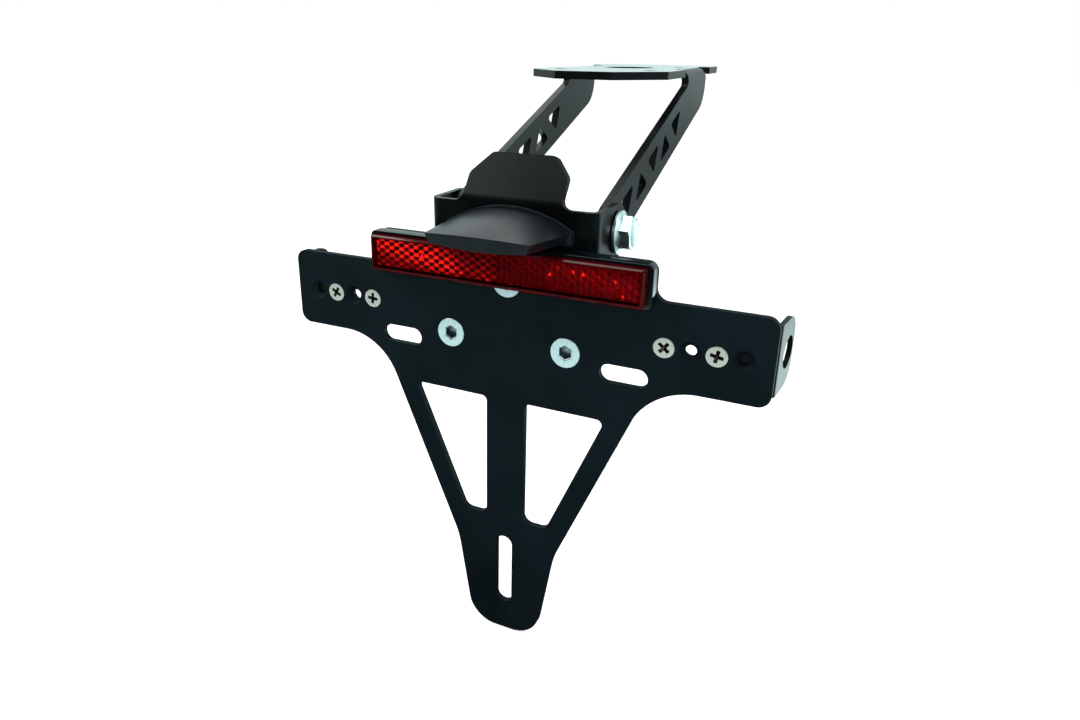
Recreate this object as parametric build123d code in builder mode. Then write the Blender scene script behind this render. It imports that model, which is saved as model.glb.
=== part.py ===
"""Motorbike tail tidy with a tilting number-plate carrier, light, reflector and indicator brackets.

All lengths are in millimetres. X is across the bike, +Y points forward along the bike (away from the
number plate's face) and Z is up. The origin is the centre of the bolt pattern on the mounting face.
Heights on the number plate are counted from its lower pair of screws.
"""
import math
import os

from build123d import *

os.makedirs("parts", exist_ok=True)

# Tolerance for picking edges by their place
tiny = 0.01

# Position of the number plate's face against the mounting bolts
reach = 137.5
drop = 105.8

# Mounting bracket
sheet = 3.6
bend_inside = 2.0
top_half_width = 34.3
top_front = 57.5
top_rear = 78.0
nose_half_width = 14.2
nose_chamfer = 20.5
rear_corner = 6.0
nose_corner = 1.5
bolt_spacing_x = 46.0
bolt_spacing_y = 57.0
bolt_hole = 6.6
cable_hole = 26.0
cable_hole_offset = 13.0
bend_front = 4.5
bend_length = 40.0
notch_length = 8.0
arm_width = 22.6
arm_shoulder = 13.0
arm_heel_radius = 14.5
arm_toe_radius = 2.5
truss_count = 5
truss_first = 23.0
truss_pitch = 19.6
truss_base = 17.8
truss_height = 10.6
truss_corner = 1.3

# Pivot: place behind and above the carrier, bolt and running clearances
pivot_back = 26.8
pivot_up = 45.7
pivot_hole = 8.4
side_clearance = 0.3

# Pivot bracket
bracket_sheet = 2.5
bracket_bend_inside = 2.0
ear_radius = 11.7
wall_foot = 9.0
wall_corner = 5.0
tab_half_width = 21.6
tab_length = 19.2
tab_lean = 36.0
tab_bend_inside = 3.0
tab_base_fillet = 4.0
tab_chamfer = 8.0
tab_corner = 3.0

# Number-plate carrier
carrier_thickness = 3.0
wing_half_width = 107.5
wing_top = 27.5
wing_bottom = -7.5
wing_corner = 5.0
wing_fillet = 28.0
reflector_tab_half_width = 61.8
reflector_tab_top = 42.4
reflector_tab_corner = 4.0
reflector_tab_fillet = 5.0
leg_top_half_width = 62.8
neck_half_width = 23.7
neck_height = -101.6
neck_fillet = 40.0
tip_half_width = 16.2
tip_height = -147.6
tip_corner = 14.0
web_width = 18.0
window_top = -26.5
window_bottom = -86.2
leg_width = 9.2
window_corner = 2.5
window_foot_corner = 4.2
plate_slot_x = 51.4
plate_slot_height = -5.2
plate_slot_length = 20.0
plate_slot_width = 8.0
tip_slot_height = -114.2
tip_slot_length = 36.5

# Carrier screws, M6 countersunk
screw_edge_distance = 6.1
top_screw_height = 26.2
m6 = 6.0
m6_head = 13.2
m6_length = 16.0
m6_socket = 4.0
m6_socket_depth = 2.4
m6_clearance_hole = 7.6
m6_washer = 12.0
m6_washer_thickness = 1.6
m6_nut = 10.0
m6_nut_height = 6.0

# Indicator screws, M4 countersunk, and the row of holes in each wing
row_height = 9.6
row_end_margin = 11.0
row_pitch = 10.0
row_count = 4
m4 = 4.0
m4_hole = 4.4
m4_head = 8.4
m4_length = 10.0
m4_nut = 7.0
m4_nut_height = 3.2

# Indicator brackets
strip = 2.0
strip_bend_inside = 1.5
strip_height = 28.4
strip_end_margin = 6.0
strip_bend_setback = 2.9
strip_corner = 3.0
strip_sight_hole = 5.5
flange_flare = 7.2
flange_length = 19.2
flange_corner = 9.0
stem_hole = 13.0
stem_hole_back = 11.4

# Reflector
reflector_length = 119.4
reflector_height = 15.2
reflector_centre = 33.8
reflector_depth = 8.4
reflector_corner = 1.2
reflector_rim = 1.6
reflector_face = 2.2
reflector_edge = 0.6
reflector_back_thickness = 1.5
tape_thickness = 0.8
tape_margin = 2.0

# Number-plate light
gasket_thickness = 1.0
hood_flange = 2.0
hood_flange_lip = 0.7
hood_bottom = 45.0
hood_side = 4.3
hood_tuck = 1.8
hood_back_half_width = 26.8
hood_back_top = 56.7
hood_depth = 28.5
hood_middle_part = 0.45
hood_middle_half_width = 24.7
hood_middle_top = 55.0
hood_middle_belly = 0.8
lip_half_width = 22.1
lip_bottom = 46.5
lip_height = 3.6
lip_rise = 0.4
lip_belly = 1.5
pocket_half_width = 17.0
pocket_start = 4.0
pocket_length = 14.0
pocket_ceiling = 49.6
board_margin = 1.0
board_thickness = 1.0
led_width = 3.5
led_height = 0.8
led_count = 3
led_pitch = 10.0
light_lens_thickness = 1.2
light_lens_recess = 0.6
light_screw_x = 20.5
light_screw_height = 48.4
light_screw_length = 12.0
light_screw_head = 7.6
light_screw_head_height = 2.6
grommet_height = 50.2
grommet_hole = 9.0
grommet_bore = 5.0
grommet_flange = 12.0
grommet_flange_thickness = 1.5

# Pivot bolts, M8 flanged, with washer and nut inside the arms
m8 = 8.0
m8_hex = 13.0
m8_head_height = 7.0
m8_flange = 17.9
m8_flange_thickness = 1.4
m8_flange_slope = 1.6
m8_flange_taper = 40.0
m8_washer = 16.0
m8_washer_bore = 8.4
m8_washer_thickness = 1.6
m8_nut_height = 8.0
m8_thread_end = 2.0

# Derived places
carrier_back_y = carrier_thickness - reach
wall_back = carrier_thickness + bracket_sheet
pivot_y = pivot_back - reach
pivot_z = pivot_up - drop
arm_outside = top_half_width
arm_inside = arm_outside - sheet
arm_half = arm_width / 2
bend_rear = bend_front + bend_length
arm_slope = math.atan2(-arm_shoulder - pivot_z, bend_front + bend_length / 2 - pivot_y)
ear_inside = arm_outside + side_clearance
ear_outside = ear_inside + bracket_sheet
wall_half = ear_inside - bracket_bend_inside
wall_top = pivot_up + ear_radius
ear_bottom = pivot_up - ear_radius
row_first = wing_half_width - row_end_margin - row_pitch * (row_count - 1)
row_places = [row_first + row_pitch * number for number in range(row_count)]
strip_inner_end = row_first - strip_end_margin
strip_bend_start = wing_half_width - strip_bend_setback
screw_half_spacing = wall_half - screw_edge_distance
carrier_screw_places = [(-screw_half_spacing, 0), (screw_half_spacing, 0), (0, top_screw_height)]
light_screw_places = [(-light_screw_x, light_screw_height), (light_screw_x, light_screw_height)]

# Views used for sketching: the number plate's face and planes parallel to it
FRONT = Plane(origin=(0, -reach, -drop), x_dir=(1, 0, 0), z_dir=(0, -1, 0))


def behind(depth):
    """Plane parallel to the number plate, the given distance behind its face."""
    return FRONT.offset(-depth)


def arm_point(along, across):
    """Point (Y, Z) in the arm's side view, counted from the pivot along and across the arm."""
    cosine, sine = math.cos(arm_slope), math.sin(arm_slope)
    return pivot_y + along * cosine - across * sine, pivot_z + along * sine + across * cosine


def mirrored(corners):
    """Closed outline from its right half, listed from bottom to top as (x, y, radius)."""
    return list(corners) + [(-x, y, radius) for x, y, radius in reversed(corners)]


def rounded_face(corners):
    """Face with straight sides between corners (x, y, radius), each corner rounded by its radius."""
    points = [Vector(x, y) for x, y, _ in corners]
    arcs = []
    for index, (_, _, radius) in enumerate(corners):
        here = points[index]
        back = (points[index - 1] - here).normalized()
        ahead = (points[(index + 1) % len(points)] - here).normalized()
        half_angle = math.acos(max(-1.0, min(1.0, back.dot(ahead)))) / 2
        run = radius / math.tan(half_angle)
        middle = here + (back + ahead).normalized() * (radius / math.sin(half_angle) - radius)
        arcs.append((here + back * run, middle, here + ahead * run))
    edges = []
    for index, (start, middle, end) in enumerate(arcs):
        edges.append(Edge.make_line(arcs[index - 1][2], start))
        if corners[index][2] > 0:
            edges.append(Edge.make_three_point_arc(start, middle, end))
    return Face(Wire(edges))


def bent_strip(legs, turn, inside, thickness, sense):
    """Side view of a bent sheet: a first leg along +x, a bend, then a second leg.

    legs holds the two straight lengths, turn the bend in degrees and inside the inner radius.
    sense is +1 to bend towards +y and -1 to bend towards -y. The first leg's outer face lies on y = 0.
    """
    outer = inside + thickness
    angle = math.radians(turn)

    def at(radius, fraction):
        part = angle * fraction
        return Vector(legs[0] + radius * math.sin(part), sense * (outer - radius * math.cos(part)))

    run = Vector(math.cos(angle), sense * math.sin(angle)) * legs[1]
    start_out, start_in = Vector(0, 0), Vector(0, sense * thickness)
    end_out, end_in = at(outer, 1) + run, at(inside, 1) + run
    return Face(Wire([
        Edge.make_line(start_out, at(outer, 0)),
        Edge.make_three_point_arc(at(outer, 0), at(outer, 0.5), at(outer, 1)),
        Edge.make_line(at(outer, 1), end_out),
        Edge.make_line(end_out, end_in),
        Edge.make_line(end_in, at(inside, 1)),
        Edge.make_three_point_arc(at(inside, 1), at(inside, 0.5), at(inside, 0)),
        Edge.make_line(at(inside, 0), start_in),
        Edge.make_line(start_in, start_out),
    ]))


def hood_section(half_width, bottom, top, side, tuck=0, belly=0):
    """Section of the light's hood: arched roof, sides that may tuck in below and a floor that may sag."""
    left, right = Vector(tuck - half_width, bottom), Vector(half_width - tuck, bottom)
    left_eave, right_eave = Vector(-half_width, bottom + side), Vector(half_width, bottom + side)
    floor = Edge.make_line(left, right)
    if belly > 0:
        floor = Edge.make_three_point_arc(left, Vector(0, bottom - belly), right)
    return Face(Wire([
        floor,
        Edge.make_line(right, right_eave),
        Edge.make_three_point_arc(right_eave, Vector(0, top), left_eave),
        Edge.make_line(left_eave, left),
    ]))


def save(builder, name):
    """Labels a finished piece and writes it to its own file."""
    builder.part.label = name
    export_step(builder.part, f"parts/{name}.step")


# Mounting bracket: top plate and two arms bent down from its sides
heel_along = (bend_rear - pivot_y - arm_half * math.sin(arm_slope)) / math.cos(arm_slope)
toe_along = (bend_front - pivot_y + arm_half * math.sin(arm_slope)) / math.cos(arm_slope)
arm_outline = [
    (*arm_point(0, -arm_half), 0),
    (*arm_point(heel_along, -arm_half), arm_heel_radius),
    (bend_rear, 0, 0),
    (bend_front, 0, 0),
    (*arm_point(toe_along, arm_half), arm_toe_radius),
    (*arm_point(0, arm_half), 0),
]
top_outline = [
    (nose_half_width, -top_front, nose_corner),
    (top_half_width, nose_chamfer - top_front, nose_corner),
    (top_half_width, top_rear, rear_corner),
]
notch_depth = sheet + bend_inside
notch_places = [
    (side * (top_half_width - notch_depth / 2), middle)
    for side in (-1, 1)
    for middle in (bend_front - notch_length / 2, bend_rear + notch_length / 2)
]

with BuildPart() as mounting_bracket:
    with BuildSketch(Plane.XY):
        add(rounded_face(mirrored(top_outline)))
        with GridLocations(bolt_spacing_x, bolt_spacing_y, 2, 2):
            Circle(bolt_hole / 2, mode=Mode.SUBTRACT)
        with Locations((0, cable_hole_offset)):
            Circle(cable_hole / 2, mode=Mode.SUBTRACT)
        with Locations(*notch_places):
            Rectangle(notch_depth, notch_length, mode=Mode.SUBTRACT)
    extrude(amount=-sheet)
    for inner in (arm_inside, -arm_outside):
        with BuildSketch(Plane.YZ.offset(inner)):
            add(rounded_face(arm_outline))
            with Locations((pivot_y, pivot_z)):
                Circle(arm_half)
                Circle(pivot_hole / 2, mode=Mode.SUBTRACT)
            for number in range(truss_count):
                flip = 1 if number % 2 == 0 else -1
                middle = truss_first + number * truss_pitch
                base = flip * truss_height / 2
                triangle = [
                    (*arm_point(middle - flip * truss_base / 2, base), truss_corner),
                    (*arm_point(middle, -base), truss_corner),
                    (*arm_point(middle + flip * truss_base / 2, base), truss_corner),
                ]
                add(rounded_face(triangle), mode=Mode.SUBTRACT)
        extrude(amount=sheet)
    along_bend = mounting_bracket.edges().filter_by(Axis.Y).filter_by_position(Axis.Y, bend_front, bend_rear)
    outer_edges = along_bend.filter_by(
        lambda e: e.center().Z > -sheet / 2 and abs(e.center().X) > arm_inside + sheet / 2
    )
    fillet(outer_edges, radius=bend_inside + sheet)
    along_bend = mounting_bracket.edges().filter_by(Axis.Y).filter_by_position(Axis.Y, bend_front, bend_rear)
    inner_edges = along_bend.filter_by(
        lambda e: abs(e.center().Z + sheet) < tiny and abs(abs(e.center().X) - arm_inside) < tiny
    )
    fillet(inner_edges, radius=bend_inside)
save(mounting_bracket, "mounting_bracket")

# Pivot bracket: wall behind the carrier, two ears outside the arms, leaning tab on top
tab_side_view = Plane(
    origin=(0, carrier_back_y, wall_top - drop - bracket_sheet), x_dir=(0, 0, 1), z_dir=(1, 0, 0)
)
tab_rise = (tab_bend_inside + bracket_sheet) * math.sin(math.radians(tab_lean))
tab_top = wall_top + tab_rise + tab_length * math.cos(math.radians(tab_lean))
tab_depth = carrier_thickness + 2 * (tab_bend_inside + bracket_sheet) + tab_length
tab_outline = [
    (tab_half_width + tab_base_fillet + tiny, wall_top - 2 * bracket_sheet, 0),
    (tab_half_width + tab_base_fillet + tiny, wall_top, 0),
    (tab_half_width, wall_top, tab_base_fillet),
    (tab_half_width, tab_top - tab_chamfer, tab_corner),
    (tab_half_width - tab_chamfer, tab_top, tab_corner),
]
wall_outline = [
    (wall_half, -wall_foot, wall_corner),
    (wall_half, ear_bottom, 0),
    (ear_outside, ear_bottom, 0),
    (ear_outside, wall_top, 0),
]

with BuildPart() as pivot_bracket:
    with BuildSketch(tab_side_view):
        add(bent_strip((bracket_sheet, tab_length), tab_lean, tab_bend_inside, bracket_sheet, -1))
    extrude(amount=tab_half_width + 2 * tab_base_fillet, both=True)
    with BuildSketch(FRONT):
        add(rounded_face(mirrored(tab_outline)))
    extrude(amount=-tab_depth, mode=Mode.INTERSECT)
    with BuildSketch(behind(carrier_thickness)):
        add(rounded_face(mirrored(wall_outline)))
    extrude(amount=-bracket_sheet)
    for inner in (ear_inside, -ear_outside):
        with BuildSketch(Plane.YZ.offset(inner)):
            with Locations(((carrier_back_y + pivot_y) / 2, pivot_z)):
                Rectangle(pivot_y - carrier_back_y, 2 * ear_radius)
            with Locations((pivot_y, pivot_z)):
                Circle(ear_radius)
        extrude(amount=bracket_sheet)
    upright = pivot_bracket.edges().filter_by(Axis.Z)
    fillet(
        upright.filter_by(
            lambda e: abs(abs(e.center().X) - ear_outside) < tiny
            and abs(e.center().Y - carrier_back_y) < tiny
        ),
        radius=bracket_bend_inside + bracket_sheet,
    )
    upright = pivot_bracket.edges().filter_by(Axis.Z)
    fillet(
        upright.filter_by(
            lambda e: abs(abs(e.center().X) - ear_inside) < tiny
            and abs(e.center().Y - carrier_back_y - bracket_sheet) < tiny
        ),
        radius=bracket_bend_inside,
    )
    with BuildSketch(Plane.YZ.offset(-ear_outside)):
        with Locations((pivot_y, pivot_z)):
            Circle(pivot_hole / 2)
    extrude(amount=2 * ear_outside, mode=Mode.SUBTRACT)
    with BuildSketch(behind(carrier_thickness)):
        with Locations(*carrier_screw_places):
            Circle(m6_clearance_hole / 2)
        with Locations(*light_screw_places):
            Circle(m4_hole / 2)
        with Locations((0, grommet_height)):
            Circle(grommet_hole / 2)
    extrude(amount=-bracket_sheet, mode=Mode.SUBTRACT)
save(pivot_bracket, "pivot_bracket")

# Number-plate carrier
leg_lean = math.atan2(leg_top_half_width - neck_half_width, wing_bottom - neck_height)


def window_edge(height):
    """Half-width of the window's outer side at a height, a leg's width inside the carrier's edge."""
    return neck_half_width + (height - neck_height) * math.tan(leg_lean) - leg_width / math.cos(leg_lean)


carrier_outline = [
    (tip_half_width, tip_height, tip_corner),
    (neck_half_width, neck_height, neck_fillet),
    (leg_top_half_width, wing_bottom, wing_fillet),
    (wing_half_width, wing_bottom, wing_corner),
    (wing_half_width, wing_top, wing_corner),
    (reflector_tab_half_width, wing_top, reflector_tab_fillet),
    (reflector_tab_half_width, reflector_tab_top, reflector_tab_corner),
]
window_outline = [
    (web_width / 2, window_bottom, window_foot_corner),
    (window_edge(window_bottom), window_bottom, window_foot_corner),
    (window_edge(window_top), window_top, window_corner),
    (web_width / 2, window_top, window_corner),
]
row_of_holes = [(side * place, row_height) for side in (-1, 1) for place in row_places]

with BuildPart() as plate_carrier:
    with BuildSketch(FRONT):
        add(rounded_face(mirrored(carrier_outline)))
        add(rounded_face(window_outline), mode=Mode.SUBTRACT)
        add(rounded_face([(-x, y, radius) for x, y, radius in window_outline]), mode=Mode.SUBTRACT)
        with Locations((-plate_slot_x, plate_slot_height), (plate_slot_x, plate_slot_height)):
            SlotOverall(plate_slot_length, plate_slot_width, mode=Mode.SUBTRACT)
        with Locations((0, tip_slot_height)):
            SlotOverall(tip_slot_length, plate_slot_width, rotation=90, mode=Mode.SUBTRACT)
        with Locations(*row_of_holes):
            Circle(m4_hole / 2, mode=Mode.SUBTRACT)
    extrude(amount=-carrier_thickness)
    with BuildSketch(FRONT):
        with Locations(*row_of_holes):
            Circle(m4_head / 2)
    extrude(amount=-(m4_head - m4_hole) / 2, taper=45, mode=Mode.SUBTRACT)
    with BuildSketch(FRONT):
        with Locations(*carrier_screw_places):
            Circle(m6_head / 2)
    extrude(amount=-carrier_thickness, taper=45, mode=Mode.SUBTRACT)
save(plate_carrier, "plate_carrier")

# Carrier screws with washers and nuts
with BuildPart() as carrier_screws:
    with BuildSketch(FRONT):
        with Locations(*carrier_screw_places):
            Circle(m6_head / 2)
    extrude(amount=-(m6_head - m6) / 2, taper=45)
    with BuildSketch(FRONT):
        with Locations(*carrier_screw_places):
            Circle(m6 / 2)
    extrude(amount=-m6_length)
    with BuildSketch(FRONT):
        with Locations(*carrier_screw_places):
            RegularPolygon(m6_socket / 2, 6, major_radius=False)
    extrude(amount=-m6_socket_depth, mode=Mode.SUBTRACT)
save(carrier_screws, "carrier_screws")

with BuildPart() as carrier_washers:
    with BuildSketch(behind(wall_back)):
        with Locations(*carrier_screw_places):
            Circle(m6_washer / 2)
            Circle(m6 / 2, mode=Mode.SUBTRACT)
    extrude(amount=-m6_washer_thickness)
save(carrier_washers, "carrier_washers")

with BuildPart() as carrier_nuts:
    with BuildSketch(behind(wall_back + m6_washer_thickness)):
        with Locations(*carrier_screw_places):
            RegularPolygon(m6_nut / 2, 6, major_radius=False)
            Circle(m6 / 2, mode=Mode.SUBTRACT)
    extrude(amount=-m6_nut_height)
save(carrier_nuts, "carrier_nuts")

# Indicator bracket on the right, a strip bent back past the wing's end
flange_turn = 90 - flange_flare
bend_outer = strip_bend_inside + strip
turn_cos, turn_sin = math.cos(math.radians(flange_turn)), math.sin(math.radians(flange_turn))
flange_face = Plane(
    origin=(
        strip_bend_start + bend_outer * turn_sin,
        carrier_back_y + bend_outer * (1 - turn_cos),
        row_height - drop,
    ),
    x_dir=(turn_cos, turn_sin, 0),
    z_dir=(turn_sin, -turn_cos, 0),
)
strip_top_view = Plane(
    origin=(strip_inner_end, carrier_back_y, row_height - drop), x_dir=(1, 0, 0), z_dir=(0, 0, 1)
)
screw_row = [(row_places[0], row_height), (row_places[2], row_height)]

with BuildPart() as indicator_bracket_right:
    with BuildSketch(strip_top_view):
        add(bent_strip((strip_bend_start - strip_inner_end, flange_length), flange_turn,
                       strip_bend_inside, strip, 1))
    extrude(amount=strip_height / 2, both=True)
    short_edges = indicator_bracket_right.edges().filter_by(lambda e: abs(e.length - strip) < tiny)
    fillet(short_edges.sort_by(Axis.Y)[-2:], radius=flange_corner)
    short_edges = indicator_bracket_right.edges().filter_by(lambda e: abs(e.length - strip) < tiny)
    fillet(short_edges.sort_by(Axis.X)[:2], radius=strip_corner)
    with BuildSketch(flange_face):
        with Locations((stem_hole_back, 0)):
            Circle(stem_hole / 2)
    extrude(amount=-strip, mode=Mode.SUBTRACT)
    with BuildSketch(behind(carrier_thickness)):
        with Locations(*screw_row):
            Circle(m4_hole / 2)
        with Locations((row_places[1], row_height)):
            Circle(strip_sight_hole / 2)
    extrude(amount=-strip, mode=Mode.SUBTRACT)
save(indicator_bracket_right, "indicator_bracket_right")

with BuildPart() as indicator_screws_right:
    with BuildSketch(FRONT):
        with Locations(*screw_row):
            Circle(m4_head / 2)
    extrude(amount=-(m4_head - m4) / 2, taper=45)
    with BuildSketch(FRONT):
        with Locations(*screw_row):
            Circle(m4 / 2)
    extrude(amount=-m4_length)
save(indicator_screws_right, "indicator_screws_right")

with BuildPart() as indicator_nuts_right:
    with BuildSketch(behind(carrier_thickness + strip)):
        with Locations(*screw_row):
            RegularPolygon(m4_nut / 2, 6, major_radius=False)
            Circle(m4 / 2, mode=Mode.SUBTRACT)
    extrude(amount=-m4_nut_height)
save(indicator_nuts_right, "indicator_nuts_right")

# The same on the left
with BuildPart() as indicator_bracket_left:
    mirror(indicator_bracket_right.part, about=Plane.YZ)
save(indicator_bracket_left, "indicator_bracket_left")

with BuildPart() as indicator_screws_left:
    mirror(indicator_screws_right.part, about=Plane.YZ)
save(indicator_screws_left, "indicator_screws_left")

with BuildPart() as indicator_nuts_left:
    mirror(indicator_nuts_right.part, about=Plane.YZ)
save(indicator_nuts_left, "indicator_nuts_left")

# Reflector: tape, back plate and a lens open at the back
with BuildPart() as reflector_tape:
    with BuildSketch(FRONT):
        with Locations((0, reflector_centre)):
            Rectangle(reflector_length - 2 * tape_margin, reflector_height - 2 * tape_margin)
        with Locations((0, top_screw_height)):
            Circle(m6_head / 2, mode=Mode.SUBTRACT)
    extrude(amount=tape_thickness)
save(reflector_tape, "reflector_tape")

with BuildPart() as reflector_back:
    with BuildSketch(behind(-tape_thickness)):
        with Locations((0, reflector_centre)):
            RectangleRounded(reflector_length - 2 * reflector_rim, reflector_height - 2 * reflector_rim,
                             reflector_corner / 2)
    extrude(amount=reflector_back_thickness)
save(reflector_back, "reflector_back")

with BuildPart() as reflector_lens:
    with BuildSketch(behind(-tape_thickness)):
        with Locations((0, reflector_centre)):
            RectangleRounded(reflector_length, reflector_height, reflector_corner)
    extrude(amount=reflector_depth)
    chamfer(reflector_lens.faces().sort_by(Axis.Y)[0].edges(), length=reflector_edge)
    with BuildSketch(behind(-tape_thickness)):
        with Locations((0, reflector_centre)):
            RectangleRounded(reflector_length - 2 * reflector_rim, reflector_height - 2 * reflector_rim,
                             reflector_corner / 2)
    extrude(amount=reflector_depth - reflector_face, mode=Mode.SUBTRACT)
save(reflector_lens, "reflector_lens")

# Number-plate light on the front of the wall, above the reflector
gasket_back = carrier_thickness
hood_back = gasket_back - gasket_thickness
hood_front = hood_back - hood_depth
hood_middle = hood_back - hood_depth * hood_middle_part
hood_middle_bottom = (hood_bottom + lip_bottom) / 2
hood_middle_side = (hood_side + lip_height) / 2
lip_top = lip_bottom + lip_height + lip_rise
flange_half = hood_back_half_width + hood_flange_lip
flange_top = hood_back_top + hood_flange_lip
flange_bottom = hood_bottom - hood_flange_lip
flange_side = hood_side + hood_flange_lip
pocket_back = hood_back - pocket_start

with BuildPart() as light_gasket:
    with BuildSketch(behind(gasket_back)):
        add(hood_section(flange_half, flange_bottom, flange_top, flange_side))
        with Locations(*light_screw_places):
            Circle(m4 / 2, mode=Mode.SUBTRACT)
        with Locations((0, grommet_height)):
            Circle(grommet_hole / 2, mode=Mode.SUBTRACT)
    extrude(amount=gasket_thickness)
save(light_gasket, "light_gasket")

with BuildPart() as light_hood:
    with BuildSketch(behind(hood_back)):
        add(hood_section(hood_back_half_width, hood_bottom, hood_back_top, hood_side, hood_tuck))
    with BuildSketch(behind(hood_middle)):
        add(hood_section(hood_middle_half_width, hood_middle_bottom, hood_middle_top, hood_middle_side,
                         hood_tuck, hood_middle_belly))
    with BuildSketch(behind(hood_front)):
        add(hood_section(lip_half_width, lip_bottom, lip_top, lip_height, hood_tuck, lip_belly))
    loft()
    with BuildSketch(behind(hood_back)):
        add(hood_section(flange_half, flange_bottom, flange_top, flange_side))
    extrude(amount=hood_flange)
    with BuildSketch(Plane.XY.offset(pocket_ceiling - drop)):
        with Locations((0, -reach + pocket_back - pocket_length / 2)):
            Rectangle(2 * pocket_half_width, pocket_length)
    extrude(amount=hood_bottom - pocket_ceiling - hood_flange, mode=Mode.SUBTRACT)
    with BuildSketch(behind(hood_back)):
        with Locations(*light_screw_places):
            Circle(m4 / 2)
    extrude(amount=light_screw_length - bracket_sheet - gasket_thickness, mode=Mode.SUBTRACT)
    with BuildSketch(behind(hood_back)):
        with Locations((0, grommet_height - (grommet_hole - grommet_bore) / 2)):
            Circle(grommet_bore / 2)
    extrude(amount=pocket_start + grommet_bore, mode=Mode.SUBTRACT)
save(light_hood, "light_hood")

with BuildPart() as light_board:
    with BuildSketch(Plane.XY.offset(pocket_ceiling - drop)):
        with Locations((0, -reach + pocket_back - pocket_length / 2)):
            Rectangle(2 * (pocket_half_width - board_margin), pocket_length - 2 * board_margin)
    extrude(amount=-board_thickness)
save(light_board, "light_board")

with BuildPart() as light_leds:
    with BuildSketch(Plane.XY.offset(pocket_ceiling - board_thickness - drop)):
        with Locations((0, -reach + pocket_back - pocket_length / 2)):
            with GridLocations(led_pitch, led_pitch, led_count, 1):
                Rectangle(led_width, led_width)
    extrude(amount=-led_height)
save(light_leds, "light_leds")

with BuildPart() as light_lens:
    with BuildSketch(Plane.XY.offset(lip_bottom - light_lens_recess - drop)):
        with Locations((0, -reach + pocket_back - pocket_length / 2)):
            Rectangle(2 * pocket_half_width, pocket_length)
    extrude(amount=light_lens_thickness)
save(light_lens, "light_lens")

with BuildPart() as light_screws:
    with BuildSketch(behind(wall_back)):
        with Locations(*light_screw_places):
            Circle(light_screw_head / 2)
    extrude(amount=-light_screw_head_height)
    chamfer(light_screws.faces().sort_by(Axis.Y)[-2:].edges(), length=light_screw_head_height / 3)
    with BuildSketch(behind(wall_back)):
        with Locations(*light_screw_places):
            Circle(m4 / 2)
    extrude(amount=light_screw_length)
save(light_screws, "light_screws")

with BuildPart() as light_grommet:
    with BuildSketch(behind(gasket_back)):
        with Locations((0, grommet_height)):
            Circle(grommet_hole / 2)
            Circle(grommet_bore / 2, mode=Mode.SUBTRACT)
    extrude(amount=-bracket_sheet)
    with BuildSketch(behind(wall_back)):
        with Locations((0, grommet_height)):
            Circle(grommet_flange / 2)
            Circle(grommet_bore / 2, mode=Mode.SUBTRACT)
    extrude(amount=-grommet_flange_thickness)
save(light_grommet, "light_grommet")

# Pivot bolt on the right, its head outside the ear, washer and nut inside the arm
head_face = ear_outside + side_clearance
nut_face = arm_inside - m8_washer_thickness
bolt_end = nut_face - m8_nut_height - m8_thread_end
flange_rim = m8_flange / 2

with BuildPart() as pivot_bolt_right:
    with BuildSketch(Plane.YZ.offset(bolt_end)):
        with Locations((pivot_y, pivot_z)):
            Circle(m8 / 2)
    extrude(amount=head_face - bolt_end)
    with BuildSketch(Plane.YZ.offset(head_face)):
        with Locations((pivot_y, pivot_z)):
            Circle(flange_rim)
    extrude(amount=m8_flange_thickness)
    with BuildSketch(Plane.YZ.offset(head_face + m8_flange_thickness)):
        with Locations((pivot_y, pivot_z)):
            Circle(flange_rim)
    extrude(amount=m8_flange_slope, taper=m8_flange_taper)
    with BuildSketch(Plane.YZ.offset(head_face)):
        with Locations((pivot_y, pivot_z)):
            RegularPolygon(m8_hex / 2, 6, major_radius=False)
    extrude(amount=m8_head_height)
save(pivot_bolt_right, "pivot_bolt_right")

with BuildPart() as pivot_washer_right:
    with BuildSketch(Plane.YZ.offset(nut_face)):
        with Locations((pivot_y, pivot_z)):
            Circle(m8_washer / 2)
            Circle(m8_washer_bore / 2, mode=Mode.SUBTRACT)
    extrude(amount=m8_washer_thickness)
save(pivot_washer_right, "pivot_washer_right")

with BuildPart() as pivot_nut_right:
    with BuildSketch(Plane.YZ.offset(nut_face)):
        with Locations((pivot_y, pivot_z)):
            RegularPolygon(m8_hex / 2, 6, major_radius=False)
            Circle(m8 / 2, mode=Mode.SUBTRACT)
    extrude(amount=-m8_nut_height)
save(pivot_nut_right, "pivot_nut_right")

# The same on the left
with BuildPart() as pivot_bolt_left:
    mirror(pivot_bolt_right.part, about=Plane.YZ)
save(pivot_bolt_left, "pivot_bolt_left")

with BuildPart() as pivot_washer_left:
    mirror(pivot_washer_right.part, about=Plane.YZ)
save(pivot_washer_left, "pivot_washer_left")

with BuildPart() as pivot_nut_left:
    mirror(pivot_nut_right.part, about=Plane.YZ)
save(pivot_nut_left, "pivot_nut_left")
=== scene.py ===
"""Studio scene of a motorbike tail tidy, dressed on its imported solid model.

Lengths are in metres, in the model's own frame: X runs across the bike, -Y points at the viewer of the
number plate and Z is up. Small sizes are named in millimetres through MM.
"""
from __future__ import annotations

import logging
import math
from dataclasses import dataclass, field, replace
from enum import Enum
from typing import Any, Protocol, Sequence

import bmesh
import bpy
import numpy as np
from mathutils import Matrix, Vector


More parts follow.
